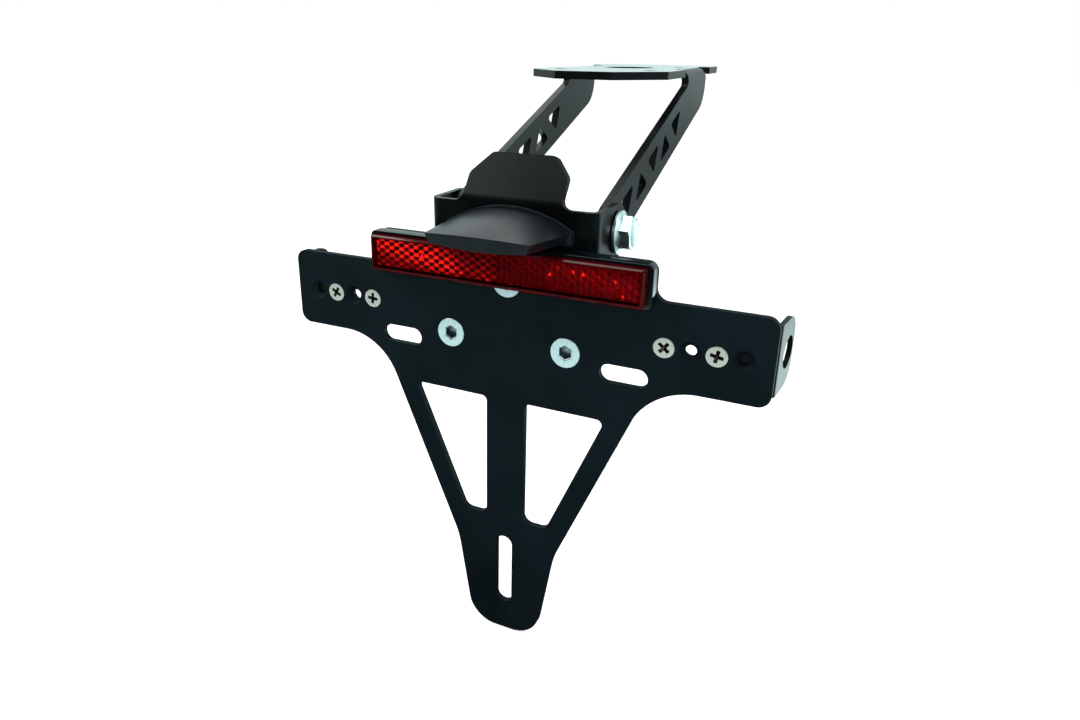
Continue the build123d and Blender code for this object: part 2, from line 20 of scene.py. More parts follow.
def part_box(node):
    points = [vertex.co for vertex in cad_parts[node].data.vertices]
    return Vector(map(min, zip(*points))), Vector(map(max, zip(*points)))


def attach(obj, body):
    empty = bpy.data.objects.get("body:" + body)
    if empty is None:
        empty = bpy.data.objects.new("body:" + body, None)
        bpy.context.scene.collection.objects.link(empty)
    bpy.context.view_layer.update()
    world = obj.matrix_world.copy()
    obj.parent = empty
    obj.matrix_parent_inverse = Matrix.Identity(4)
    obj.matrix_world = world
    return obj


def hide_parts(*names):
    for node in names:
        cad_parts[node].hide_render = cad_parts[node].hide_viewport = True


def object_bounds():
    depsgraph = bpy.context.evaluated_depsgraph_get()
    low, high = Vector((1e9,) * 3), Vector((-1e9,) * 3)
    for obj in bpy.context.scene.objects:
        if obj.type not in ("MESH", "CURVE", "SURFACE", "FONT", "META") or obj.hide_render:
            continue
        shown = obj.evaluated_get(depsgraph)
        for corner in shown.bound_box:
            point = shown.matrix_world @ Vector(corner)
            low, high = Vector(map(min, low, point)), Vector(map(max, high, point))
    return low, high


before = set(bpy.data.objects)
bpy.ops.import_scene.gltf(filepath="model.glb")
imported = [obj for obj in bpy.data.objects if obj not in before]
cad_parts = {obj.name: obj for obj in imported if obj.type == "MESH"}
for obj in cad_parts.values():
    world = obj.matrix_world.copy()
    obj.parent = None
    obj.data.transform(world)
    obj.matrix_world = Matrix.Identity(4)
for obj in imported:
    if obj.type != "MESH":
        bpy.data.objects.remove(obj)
CAD_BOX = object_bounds()
LOG = logging.getLogger("tail_tidy")
MM = 0.001
AROUND = 72
NOISE_MIDDLE = 0.5
CHAMFER_RISE = math.tan(math.radians(60.0))
BACK = Vector((0, 1, 0))
AHEAD = Vector((0, -1, 0))
ACROSS = Vector((1, 0, 0))
Pair = tuple[float, float]
Triple = tuple[float, float, float]
Colour = Triple
Rings = list[tuple[Any, Any]]
Shape = tuple[np.ndarray, np.ndarray]
EVEN: Triple = (1.0, 1.0, 1.0)
BLACK: Colour = (0.0, 0.0, 0.0)
WHITE: Colour = (1.0, 1.0, 1.0)


class Body(Enum):
    """The two bodies that the pivot bolts join."""

    MOUNT = "tail_mount"
    CARRIER = "tilting_carrier"


class Slot(Enum):
    """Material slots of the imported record."""

    ANODISED = "black_anodised"
    POWDER = "black_powder_coat"
    ZINC = "zinc_steel"
    STAINLESS = "stainless_steel"
    FOAM = "foam_tape"
    BACKING = "reflector_backing"
    RED = "red_lens"
    RUBBER = "black_rubber"
    HOOD = "hood_plastic"
    BOARD = "board"
    LED = "led"
    CLEAR = "clear_lens"


class Side(Enum):
    """Right and left as the viewer of the number plate sees them."""

    RIGHT = 1
    LEFT = -1


class Value:
    """A number that varies over a surface: a node socket whose operators add Math nodes."""

    def __init__(self, recipe: Recipe, socket: bpy.types.NodeSocket) -> None:
        """Wraps one output socket of a recipe's node tree."""
        self.recipe = recipe
        self.socket = socket

    def _math(self, operation: str, first: Any, second: Any) -> Value:
        """Adds a Math node on two numbers or sockets."""
        return self.recipe.node("ShaderNodeMath", {"operation": operation}, {0: first, 1: second})

    def __add__(self, other: Any) -> Value:
        """Sum."""
        return self._math("ADD", self, other)

    def __sub__(self, other: Any) -> Value:
        """Difference."""
        return self._math("SUBTRACT", self, other)

    def __rsub__(self, other: Any) -> Value:
        """Difference from a number in front."""
        return self._math("SUBTRACT", other, self)

    def __mul__(self, other: Any) -> Value:
        """Product."""
        return self._math("MULTIPLY", self, other)

    __radd__ = __add__
    __rmul__ = __mul__

    def absolute(self) -> Value:
        """Size of the value without its sign."""
        return self._math("ABSOLUTE", self, 0.0)

    def larger(self, other: Any) -> Value:
        """The larger of two values."""
        return self._math("MAXIMUM", self, other)

    def step(self, low: float, high: float) -> Value:
        """Smooth step from 0 at low to 1 at high."""
        settings = {"interpolation_type": "SMOOTHSTEP"}
        return self.recipe.node("ShaderNodeMapRange", settings, {0: self, 1: low, 2: high})


class Recipe:
    """The node tree of one material or world, with one generic way to add a node."""

    def __init__(self, owner: bpy.types.Material | bpy.types.World) -> None:
        """Empties the owner's node tree.

        Args:
            owner: the material or world that holds the tree.
        """
        owner.use_nodes = True
        self.owner = owner
        self.tree = owner.node_tree
        self.tree.nodes.clear()

    def node(self, kind: str, settings: dict[str, Any] | None = None,
             inputs: dict[int | str, Any] | None = None, output: int | str = 0) -> Value:
        """Adds one node.

        Args:
            kind: Blender's name of the node type.
            settings: properties, set first; "stops" fills a colour ramp with (place, colour) pairs.
            inputs: sockets by number or name, as numbers, tuples or values.
            output: the output that is returned, by number or name.

        Returns:
            The chosen output socket.
        """
        made = self.tree.nodes.new(kind)
        for name, setting in (settings or {}).items():
            if name == "stops":
                self._fill_ramp(made.color_ramp, setting)
            else:
                setattr(made, name, setting)
        for socket, value in (inputs or {}).items():
            if isinstance(value, Value):
                self.tree.links.new(value.socket, made.inputs[socket])
            else:
                made.inputs[socket].default_value = value
        return Value(self, made.outputs[output])

    @staticmethod
    def _fill_ramp(ramp: bpy.types.ColorRamp, stops: Sequence[tuple[float, Colour]]) -> None:
        """Puts the stops into a ramp.

        Args:
            ramp: a new ramp, which has two stops.
            stops: (place, colour) pairs, at least two.
        """
        while len(ramp.elements) < len(stops):
            ramp.elements.new(1.0)
        for element, (place, colour) in zip(ramp.elements, stops):
            element.position = place
            element.color = (*colour, 1.0)

    def place(self, scale: Triple = EVEN) -> Value:
        """Object coordinates, stretched by a scale along each axis."""
        spot = self.node("ShaderNodeTexCoord", output="Object")
        return self.node("ShaderNodeMapping", inputs={"Vector": spot, "Scale": scale})

    def part(self, vector: Value, axis: str) -> Value:
        """One coordinate of a vector, by its letter."""
        return self.node("ShaderNodeSeparateXYZ", inputs={0: vector}, output=axis)

    def ramp(self, factor: Value, *stops: tuple[float, Colour]) -> Value:
        """Colour by a factor, between stops given as (place, colour) pairs."""
        return self.node("ShaderNodeValToRGB", {"stops": stops}, {0: factor})

    def blend(self, factor: Value, first: Value, second: Colour) -> Value:
        """Colour that goes from a varying one to a plain one as the factor goes from 0 to 1."""
        inputs = {0: factor, 6: first, 7: (*second, 1.0)}
        return self.node("ShaderNodeMix", {"data_type": "RGBA"}, inputs, output=2)

    def bump(self, height: Value, depth: float, strength: float) -> Value:
        """Normal of a surface raised by a height of 0 to 1 times a depth in metres."""
        inputs = {"Height": height, "Distance": depth, "Strength": strength}
        return self.node("ShaderNodeBump", inputs=inputs)

    def surface(self, **sockets: Any) -> bpy.types.Material:
        """Closes the tree with a Principled shader.

        Args:
            sockets: values of its sockets, with underscores for spaces.

        Returns:
            The finished material.
        """
        inputs = {name.replace("_", " "): value for name, value in sockets.items()}
        self.close("ShaderNodeOutputMaterial", self.node("ShaderNodeBsdfPrincipled", inputs=inputs))
        return self.owner

    def close(self, kind: str, shader: Value) -> None:
        """Adds the output node and links the shader to its surface."""
        made = self.tree.nodes.new(kind)
        self.tree.links.new(shader.socket, made.inputs["Surface"])


class Finish(Protocol):
    """Anything that can make its material."""

    def material(self, name: str) -> bpy.types.Material:
        """Builds the material under a name."""


@dataclass(frozen=True)
class Layer:
    """One noise of a finish: the size of its patches and its shares in colour, gloss and relief."""

    size: float
    tone: float = 0.0
    gloss: float = 0.0
    relief: float = 0.0
    detail: float = 2.0
    stretch: Triple = EVEN

    def noise(self, recipe: Recipe) -> Value:
        """The noise as a value from 0 to 1."""
        inputs = {"Vector": recipe.place(self.stretch), "Scale": 1.0 / self.size, "Detail": self.detail}
        return recipe.node("ShaderNodeTexNoise", inputs=inputs)


def coated(grain: float, cloud: float = 22 * MM, stretch: Triple = EVEN) -> tuple[Layer, ...]:
    """Layers of a coat on sheet metal: wide clouds, faint rolling lines and a fine grain.

    Args:
        grain: size of the grain.
        cloud: size of the clouds.
        stretch: scale of the rolling lines along each axis.

    Returns:
        The three layers.
    """
    return (Layer(cloud, tone=0.6, gloss=0.14, detail=4.0),
            Layer(0.8 * MM, tone=0.25, relief=0.3, stretch=stretch),
            Layer(grain, tone=0.15, gloss=0.08, relief=0.7, detail=3.0))


def plated(mottle: float) -> tuple[Layer, ...]:
    """Layers of bare or plated steel: soft mottling and fine turning marks."""
    return (Layer(mottle, tone=0.75, gloss=0.25, detail=4.0),
            Layer(0.25 * MM, tone=0.25, gloss=0.12, relief=1.0, stretch=(1.0, 1.0, 0.12)))


def moulded(grain: float) -> tuple[Layer, ...]:
    """Layers of moulded plastic or rubber: wide flow clouds and a spark-eroded grain."""
    return (Layer(12 * MM, tone=0.7, detail=3.0),
            Layer(grain, tone=0.3, gloss=0.2, relief=1.0, detail=3.0))


def rippled(size: float, gloss: float) -> tuple[Layer, ...]:
    """The one layer of a clear moulding: the slight ripple of its face."""
    return (Layer(size, tone=1.0, gloss=gloss, relief=1.0),)


@dataclass(frozen=True)
class Layered:
    """Finish whose layers of noise tint it between two colours, sway its gloss and raise its grain."""

    dark: Colour
    light: Colour
    roughness: float
    layers: tuple[Layer, ...]
    depth: float = 0.03 * MM
    bump: float = 0.7
    contrast: Pair = (0.35, 0.65)
    specular: float = 0.5

    def extras(self, recipe: Recipe, colour: Value) -> dict[str, Any]:
        """Sockets that a kind of finish adds or changes."""
        return {}

    def material(self, name: str) -> bpy.types.Material:
        """Adds up the layers' shares in colour, gloss and relief.

        Args:
            name: the material's name.

        Returns:
            The finished material.
        """
        recipe = Recipe(bpy.data.materials.new(name))
        tone, gloss, relief = 0.0, self.roughness, 0.0
        for layer in self.layers:
            noise = layer.noise(recipe)
            tone = tone + noise * layer.tone
            gloss = gloss + (noise - NOISE_MIDDLE) * layer.gloss
            relief = relief + noise * layer.relief
        colour = recipe.ramp(tone.step(*self.contrast), (0.0, self.dark), (1.0, self.light))
        sockets = {"Base_Color": colour, "Roughness": gloss, "Specular_IOR_Level": self.specular,
                   "Normal": recipe.bump(relief, self.depth, self.bump)}
        return recipe.surface(**(sockets | self.extras(recipe, colour)))


@dataclass(frozen=True)
class Coat(Layered):
    """Black coat on sheet metal with a tinted sheen, which may be rubbed glossy on its top face."""

    bump: float = 0.6
    sheen: tuple[float, ...] = (0.80, 0.97, 1.0, 1.0)
    gloss_top: float | None = None
    gloss_fade: float = 0.3 * MM
    gloss_roughness: float = 0.12

    def glossy_top(self, top: float) -> Coat:
        """The same coat, rubbed glossy on the face at a height."""
        return replace(self, gloss_top=top)

    def extras(self, recipe: Recipe, colour: Value) -> dict[str, Any]:
        """The sheen's tint, and a clear gloss that starts just below the top face.

        Args:
            recipe: the node tree.
            colour: the coat's colour; not used.

        Returns:
            Values of sockets.
        """
        gloss: Value | float = 0.0
        if self.gloss_top is not None:
            gloss = recipe.part(recipe.place(), "Z").step(self.gloss_top - self.gloss_fade, self.gloss_top)
        return {"Specular_Tint": self.sheen, "Coat_Weight": gloss, "Coat_Roughness": self.gloss_roughness}


@dataclass(frozen=True)
class Steel(Layered):
    """Bare or plated steel, with painted shade that darkens a driver recess that opens towards -Y."""

    depth: float = 0.02 * MM
    contrast: Pair = (0.3, 0.7)
    recess_shade: Colour = (0.03, 0.03, 0.035)
    recess_shade_start: Pair = (0.15 * MM, 1.0 * MM)
    recess_shade_fade: float = 1.0 * MM
    recess_face: float = 0.0
    recess_depth: float = 0.0

    def recessed(self, face: float, depth: float) -> Steel:
        """The same steel on heads whose faces lie at a place along Y, with recesses of a depth."""
        return replace(self, recess_face=face, recess_depth=depth)

    def extras(self, recipe: Recipe, colour: Value) -> dict[str, Any]:
        """Bare metal, and painted shade that deepens from just under the head's face down into the recess.

        Args:
            recipe: the node tree.
            colour: the steel's colour.

        Returns:
            Values of sockets.
        """
        # painted shade: the colour darkens from just under the head's face down to the recess's floor, and
        # fades back below it
        if self.recess_depth > 0.0:
            sunk = recipe.part(recipe.place(), "Y") - self.recess_face
            below = sunk.step(self.recess_depth, self.recess_depth + self.recess_shade_fade)
            colour = recipe.blend(sunk.step(*self.recess_shade_start) * (1.0 - below), colour, self.recess_shade)
        return {"Metallic": 1.0, "Base_Color": colour}


@dataclass(frozen=True)
class ClearLens(Layered):
    """Glossy see-through moulding: the lens of the light."""

    bump: float = 0.4
    contrast: Pair = (0.3, 0.7)
    cover: float = 0.35
    cover_swing: float = 0.1
    coat_roughness: float = 0.04

    def extras(self, recipe: Recipe, colour: Value) -> dict[str, Any]:
        """A thin tint over what lies behind, which follows the face's ripple, under a clear coat."""
        cover = self.cover + (self.layers[0].noise(recipe) - NOISE_MIDDLE) * self.cover_swing
        return {"Alpha": cover, "Coat_Weight": 1.0, "Coat_Roughness": self.coat_roughness}


@dataclass(frozen=True)
class ReflectorGlass(Layered):
    """Glossy moulding that is clear over its prisms and deep in colour round its rim."""

    contrast: Pair = (0.3, 0.7)
    cover: float = 0.08
    soft: float = 0.35 * MM
    rim_coat: float = 0.4
    coat_roughness: float = 0.08
    middle: float = 0.0
    half_width: float = 0.0
    half_height: float = 0.0

    def over(self, middle: float, half_width: float, half_height: float) -> ReflectorGlass:
        """The same glass with its clear window given by the window's mid height and half sizes."""
        return replace(self, middle=middle, half_width=half_width, half_height=half_height)

    def extras(self, recipe: Recipe, colour: Value) -> dict[str, Any]:
        """Cover that rises from the window's edge to the solid, coated rim.

        Args:
            recipe: the node tree.
            colour: the glass's colour; not used.

        Returns:
            Values of sockets.
        """
        where = recipe.place()
        sides = recipe.part(where, "X").absolute().step(self.half_width - self.soft, self.half_width)
        ends = (recipe.part(where, "Z") - self.middle).absolute()
        rim = sides.larger(ends.step(self.half_height - self.soft, self.half_height))
        return {"Alpha": self.cover + rim * (1.0 - self.cover), "Coat_Weight": rim * self.rim_coat,
                "Coat_Roughness": self.coat_roughness}


@dataclass(frozen=True)
class PrismFacets:
    """Red facets of a reflector, each coloured by its own painted reflection, with a painted glow on the
    brightest.
    """

    deep: Colour
    mid: Colour
    flash: Colour
    mid_tone: float = 0.55
    painted_glow_start: float = 0.6
    painted_glow: float = 0.45
    roughness: float = 0.3
    specular: float = 0.03
    grain: Layer = Layer(0.6 * MM, gloss=0.16)

    def material(self, name: str) -> bpy.types.Material:
        """Colour by the painted reflection that the mesh carries on each face, and a painted glow from the
        brightest ones.

        Args:
            name: the material's name.

        Returns:
            The finished material.
        """
        recipe = Recipe(bpy.data.materials.new(name))
        tone = recipe.node("ShaderNodeAttribute", {"attribute_name": "tone"}, output="Fac")
        grain = self.grain.noise(recipe) - NOISE_MIDDLE
        return recipe.surface(
            # painted reflections: each facet's value picks its red between dark, mid and bright
            Base_Color=recipe.ramp(tone, (0.0, self.deep), (self.mid_tone, self.mid), (1.0, self.flash)),
            Roughness=self.roughness + grain * self.grain.gloss,
            Specular_IOR_Level=self.specular,
            # painted glow: the brightest facets emit red light of their own
            Emission_Color=recipe.ramp(tone.step(self.painted_glow_start, 1.0), (0.0, BLACK), (1.0, self.flash)),
            Emission_Strength=self.painted_glow,
        )


ROLLED: Triple = (0.15, 1.0, 1.0)
ANODISED = Coat((0.002, 0.003, 0.003), (0.005, 0.007, 0.008), roughness=0.32, specular=0.14,
                layers=coated(0.35 * MM, stretch=ROLLED), depth=0.012 * MM)
# a darker, less reflective copy of the anodised coat for the indicator brackets behind the carrier; its
# darker colour is painted shade
SHADED_ANODISED = replace(ANODISED, dark=(0.001, 0.0015, 0.0016), light=(0.003, 0.0045, 0.005), specular=0.06)
TEXTURED = Coat((0.0006, 0.0011, 0.0012), (0.0016, 0.0025, 0.0028), roughness=0.32, specular=0.13,
                layers=coated(0.6 * MM), depth=0.07 * MM)
POWDER = Coat((0.001, 0.003, 0.005), (0.003, 0.007, 0.010), roughness=0.62, specular=0.12,
              layers=coated(0.55 * MM, cloud=35 * MM), depth=0.035 * MM, sheen=(0.60, 0.95, 1.0, 1.0))
# the darker colour in the driver recesses of ZINC and STAINLESS heads is painted shade
ZINC = Steel((0.52, 0.65, 0.67), (0.76, 0.89, 0.91), roughness=0.36, layers=plated(1.6 * MM),
             bump=0.25, recess_shade=(0.12, 0.16, 0.18))
STAINLESS = Steel((0.50, 0.48, 0.43), (0.74, 0.70, 0.63), roughness=0.36, layers=plated(0.9 * MM), bump=0.4)
HOOD = Layered((0.002, 0.005, 0.007), (0.004, 0.008, 0.011), roughness=0.35, specular=0.36,
               layers=moulded(0.4 * MM), depth=0.02 * MM)
GLOSS_BLACK = Layered((0.001, 0.002, 0.003), (0.002, 0.004, 0.005), roughness=0.12, specular=0.30,
                      layers=moulded(0.4 * MM), depth=0.006 * MM)
RED_GLASS = ReflectorGlass((0.03, 0.0005, 0.001), (0.06, 0.001, 0.002), roughness=0.08, specular=0.025,
                           layers=rippled(5 * MM, gloss=0.06), depth=0.02 * MM, bump=0.3)
# reds of the prisms' painted reflections, from dark facets through mid to bright ones; the bright end also
# glows
PRISMS = PrismFacets((0.02, 0.0, 0.001), (0.24, 0.001, 0.002), (1.0, 0.014, 0.008))
FINISHES: dict[Slot, Finish] = {
    Slot.POWDER: POWDER,
    Slot.ZINC: ZINC,
    Slot.STAINLESS: STAINLESS,
    Slot.FOAM: Layered((0.02, 0.02, 0.02), (0.04, 0.04, 0.04), 0.9, moulded(0.8 * MM), depth=0.1 * MM),
    Slot.BACKING: Layered((0.10, 0.004, 0.006), (0.16, 0.008, 0.01), 0.5, moulded(0.5 * MM)),
    Slot.RUBBER: Layered((0.008, 0.008, 0.008), (0.016, 0.016, 0.016), 0.8, moulded(0.7 * MM)),
    Slot.HOOD: HOOD,
    Slot.BOARD: Layered((0.72, 0.74, 0.70), (0.80, 0.81, 0.78), 0.4, moulded(0.5 * MM)),
    Slot.LED: Layered((0.75, 0.62, 0.12), (0.88, 0.78, 0.22), 0.3, moulded(0.5 * MM)),
    Slot.CLEAR: ClearLens((0.72, 0.76, 0.78), (0.82, 0.85, 0.86), 0.12, rippled(2 * MM, gloss=0.08)),
}


@dataclass
class Workshop:
    """Makes each material once and puts pieces and CAD nodes into the scene."""

    weld: float = 0.002 * MM
    merge: float = 0.0005 * MM
    bevel_angle: float = 40.0
    bevel_steps: int = 2
    flat_weight: int = 100
    smooth_angle: float = 35.0
    made: dict[str, bpy.types.Material] = field(default_factory=dict)

    def paint(self, thing: bpy.types.Object, slot: Slot, finish: Finish | None) -> None:
        """Gives an object one material, made on first use.

        Args:
            thing: the object.
            slot: the record's slot, which names the material and its finish.
            finish: the object's own finish, under its own name, where the slot's isn't used.
        """
        name = slot.value if finish is None else thing.name
        if name not in self.made:
            self.made[name] = (finish or FINISHES[slot]).material(name)
        thing.data.materials.clear()
        thing.data.materials.append(self.made[name])

    def dress(self, node: str, slot: Slot, edge: float = 0.0, finish: Finish | None = None) -> None:
        """Gives a CAD node its finish.

        Args:
            node: the node's name.
            slot: the record's slot of the finish.
            edge: width of the softened edges in metres, 0 for none.
            finish: its own finish, where the slot's isn't used.
        """
        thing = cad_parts[node]
        self.paint(thing, slot, finish)
        if edge > 0.0:
            self._soften(thing, edge)
        LOG.info("dressed %s in %s", node, slot.value)

    def _soften(self, thing: bpy.types.Object, edge: float) -> None:
        """Rounds sharp edges and keeps the faces flat to the eye.

        Args:
            thing: the object.
            edge: width of the rounded edges.
        """
        thing.modifiers.new("weld", "WELD").merge_threshold = self.weld
        bevel = thing.modifiers.new("edges", "BEVEL")
        bevel.width = edge
        bevel.segments = self.bevel_steps
        bevel.limit_method = "ANGLE"
        bevel.angle_limit = math.radians(self.bevel_angle)
        flat = thing.modifiers.new("flat faces", "WEIGHTED_NORMAL")
        flat.mode = "FACE_AREA_WITH_ANGLE"
        flat.weight = self.flat_weight

    def add(self, name: str, points: np.ndarray, faces: np.ndarray, body: Body, slot: Slot,
            replaces: Sequence[str] = (), finish: Finish | None = None,
            painted_reflections: np.ndarray | None = None) -> None:
        """Makes a piece from arrays: a closed and smooth one, or flat facets where painted reflections are
        given.

        Args:
            name: the piece's name.
            points: an array of points by 3.
            faces: an array of faces by their point numbers.
            body: the body that carries it.
            slot: the record's slot that it takes its finish from.
            replaces: CAD nodes that it stands for.
            finish: its own finish, where the slot's isn't used.
            painted_reflections: a painted reflection for each face, a number that its finish reads as
                "tone".
        """
        mesh = bpy.data.meshes.new(name)
        mesh.from_pydata(points.tolist(), [], faces.tolist())
        if painted_reflections is None:
            self._close(mesh)
        else:
            mesh.attributes.new("tone", "FLOAT", "FACE").data.foreach_set("value", painted_reflections.astype(np.float32))
        thing = bpy.data.objects.new(name, mesh)
        bpy.context.scene.collection.objects.link(thing)
        self.paint(thing, slot, finish)
        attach(thing, body.value)
        if replaces:
            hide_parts(*replaces)
        LOG.info("made %s with %d faces", name, len(mesh.polygons))

    def _close(self, mesh: bpy.types.Mesh) -> None:
        """Merges doubled points, turns faces outwards and marks edges that stay sharp.

        Args:
            mesh: the mesh, changed in place.
        """
        work = bmesh.new()
        work.from_mesh(mesh)
        bmesh.ops.remove_doubles(work, verts=work.verts, dist=self.merge)
        bmesh.ops.recalc_face_normals(work, faces=work.faces)
        work.to_mesh(mesh)
        work.free()
        mesh.shade_smooth()
        mesh.set_sharp_from_angle(angle=math.radians(self.smooth_angle))


@dataclass(frozen=True)
class Axis:
    """A straight axis in space, with two directions square to it."""

    origin: Vector
    along: Vector
    across: Vector

    def points(self, radius: np.ndarray, height: np.ndarray, angle: np.ndarray) -> np.ndarray:
        """Places cylinder coordinates: origin + along*height + radius*(across*cos + third*sin).

        Args:
            radius: distances from the axis.
            height: places along it.
            angle: turns about it, in radians.

        Returns:
            Points by 3, in the order of the arrays.
        """
        third = self.along.cross(self.across)
        spread = [np.asarray(vector) for vector in (self.along, self.across, third)]
        parts = (height, radius * np.cos(angle), radius * np.sin(angle))
        total = sum(part[..., None] * vector for part, vector in zip(parts, spread))
        return (total + np.asarray(self.origin)).reshape(-1, 3)


def ring_faces(rings: int, around: int, closed: bool = False) -> np.ndarray:
    """Quads of a grid of rings, each closed round its axis.

    Args:
        rings: number of rings.
        around: points in a ring.
        closed: joins the last ring to the first as well.

    Returns:
        Faces by 4 point numbers.
    """
    ring, step = np.meshgrid(np.arange(rings if closed else rings - 1), np.arange(around), indexing="ij")
    following = (ring + 1) % rings
    turned_on = (step + 1) % around
    corners = (ring * around + step, ring * around + turned_on,
               following * around + turned_on, following * around + step)
    return np.stack(corners, -1).reshape(-1, 4)


def angles() -> np.ndarray:
    """One turn in even steps, which meet the corners of a hexagon."""
    return np.arange(AROUND) * (2 * math.pi / AROUND)


def hexagon(flats: float) -> np.ndarray:
    """Radius of a hexagon at each angle: half its flats over the cosine to the nearest flat's middle."""
    sixth = math.pi / 3
    return flats / 2 / np.cos((angles() + sixth / 2) % sixth - sixth / 2)


def rounded_ring(half_width: float, half_height: float, radius: float, steps: int = 9) -> np.ndarray:
    """Outline of a rounded rectangle: each corner's middle plus its radius round a quarter turn.

    Args:
        half_width: half its width.
        half_height: half its height.
        radius: radius of its corners.
        steps: points in a corner.

    Returns:
        Points by 2, once round.
    """
    quarter = np.arange(4)[:, None] * (math.pi / 2)
    turn = quarter + np.linspace(0.0, math.pi / 2, steps)[None]
    middle = quarter + math.pi / 4
    across = np.sign(np.cos(middle)) * (half_width - radius) + radius * np.cos(turn)
    up = np.sign(np.sin(middle)) * (half_height - radius) + radius * np.sin(turn)
    return np.stack([across.ravel(), up.ravel()], -1)


def smooth_step(value: np.ndarray) -> np.ndarray:
    """Smooth step of values clipped to 0 and 1."""
    held = np.clip(value, 0.0, 1.0)
    return held * held * (3 - 2 * held)


def join(parts: Sequence[Shape]) -> Shape:
    """Joins several shapes into one pair of point and face arrays.

    Args:
        parts: the shapes.

    Returns:
        Points and faces.
    """
    starts = np.cumsum([0] + [len(points) for points, _ in parts[:-1]])
    faces = np.concatenate([shape[1] + start for shape, start in zip(parts, starts)])
    return np.concatenate([points for points, _ in parts]), faces


def turned(axis: Axis, rings: Rings, closed: bool = False) -> Shape:
    """Surface of rings carried round an axis.

    Args:
        axis: the axis.
        rings: (radius, height) pairs, each a number or an array round the turn.
        closed: joins the last ring to the first, as in a nut.

    Returns:
        Points and faces.
    """
    radius, height = (
        np.stack([np.broadcast_to(np.asarray(ring[side], float), AROUND) for ring in rings])
        for side in (0, 1)
    )
    around = np.broadcast_to(angles(), radius.shape)
    return axis.points(radius, height, around), ring_faces(len(radius), AROUND, closed)


def centre(low: Vector, high: Vector) -> Vector:
    """Middle of a box."""
    return (low + high) / 2


def end_spots(low: Vector, high: Vector, head: float, depth: float) -> list[Vector]:
    """Middles of two heads at the two ends of a box, at a place along Y."""
    up = centre(low, high).z
    return [Vector((place, depth, up)) for place in (low.x + head / 2, high.x - head / 2)]


@dataclass(frozen=True)
class Thread:
    """A rolled metric thread on a shank; its cuts are shares of the pitch."""

    diameter: float
    pitch: float
    steps: int = 7
    cut: float = 0.6
    end_cut: float = 0.08

    def rings(self, start: float, end: float) -> Rings:
        """Rings of a shank whose radius is a triangle wave of the height over the pitch less the turn.

        Args:
            start: height where the thread starts.
            end: height of the shank's end, past or before the start.

        Returns:
            Rings from start to end, closed by a cut end.
        """
        made: Rings = []
        for height in np.linspace(start, end, max(2, int(abs(end - start) / self.pitch * self.steps))):
            phase = (height / self.pitch - angles() / (2 * math.pi)) % 1.0
            valley = 1 - np.abs(2 * phase - 1)
            fade = min(1.0, abs(height - end) / self.pitch, abs(height - start) / self.pitch)
            depth = self.pitch * (self.cut * valley * fade + self.end_cut * (1 - fade))
            made.append((self.diameter / 2 - depth, height))
        made.append((0.0, end))
        return made


@dataclass(frozen=True)
class CrossRecess:
    """Cross-shaped driver recess in a screw's head."""

    reach: float
    half_width: float
    depth: float
    turn: float = 0.0
    soft: float = 0.16 * MM
    rise: float = 0.55

    def sink(self, radius: float, angle: np.ndarray) -> np.ndarray:
        """Depth below the head: two crossed bars with soft walls, deeper towards the middle.

        Args:
            radius: distance from the screw's axis.
            angle: turns about it.

        Returns:
            Depths in metres.
        """
        one = radius * np.cos(angle - math.radians(self.turn))
        two = radius * np.sin(angle - math.radians(self.turn))
        cross = np.maximum(self._bar(one, two), self._bar(two, one))
        return self.depth * cross * (1.0 - self.rise * min(radius / self.reach, 1.0))

    def _bar(self, along: np.ndarray, across: np.ndarray) -> np.ndarray:
        """1 inside one bar of the cross, 0 outside and 0.5 on its edge."""
        side = smooth_step((self.half_width - np.abs(across)) / self.soft + 0.5)
        return side * smooth_step((self.reach - np.abs(along)) / self.soft + 0.5)


@dataclass(frozen=True)
class HexNut:
    """Hexagon nut with both faces chamfered."""

    flats: float
    bore: float
    height: float
    face_share: float = 0.96
    countersink: float = 0.4 * MM
    levels: int = 17

    def shape(self, axis: Axis) -> Shape:
        """Hexagon held inside a cone at each end: radius = min(hexagon, cone), with a countersunk bore.

        Args:
            axis: the nut's axis, with its origin on the front face.

        Returns:
            Points and faces.
        """
        levels = np.linspace(0.0, self.height, self.levels)
        cone = self.face_share * self.flats / 2 + np.minimum(levels, self.height - levels) * CHAMFER_RISE
        bore, mouth = self.bore / 2, self.bore / 2 + self.countersink
        rings: Rings = [(mouth, 0.0)]
        rings += [(np.minimum(hexagon(self.flats), limit), level) for level, limit in zip(levels, cone)]
        rings += [(mouth, self.height), (bore, self.height - self.countersink), (bore, self.countersink)]
        return turned(axis, rings, closed=True)

    def behind(self, spots: Sequence[Vector], face: float) -> Shape:
        """Nuts on the axes of screws that run back, with their front faces at a place along Y."""
        return join([self.shape(Axis(Vector((spot.x, face, spot.z)), BACK, ACROSS)) for spot in spots])


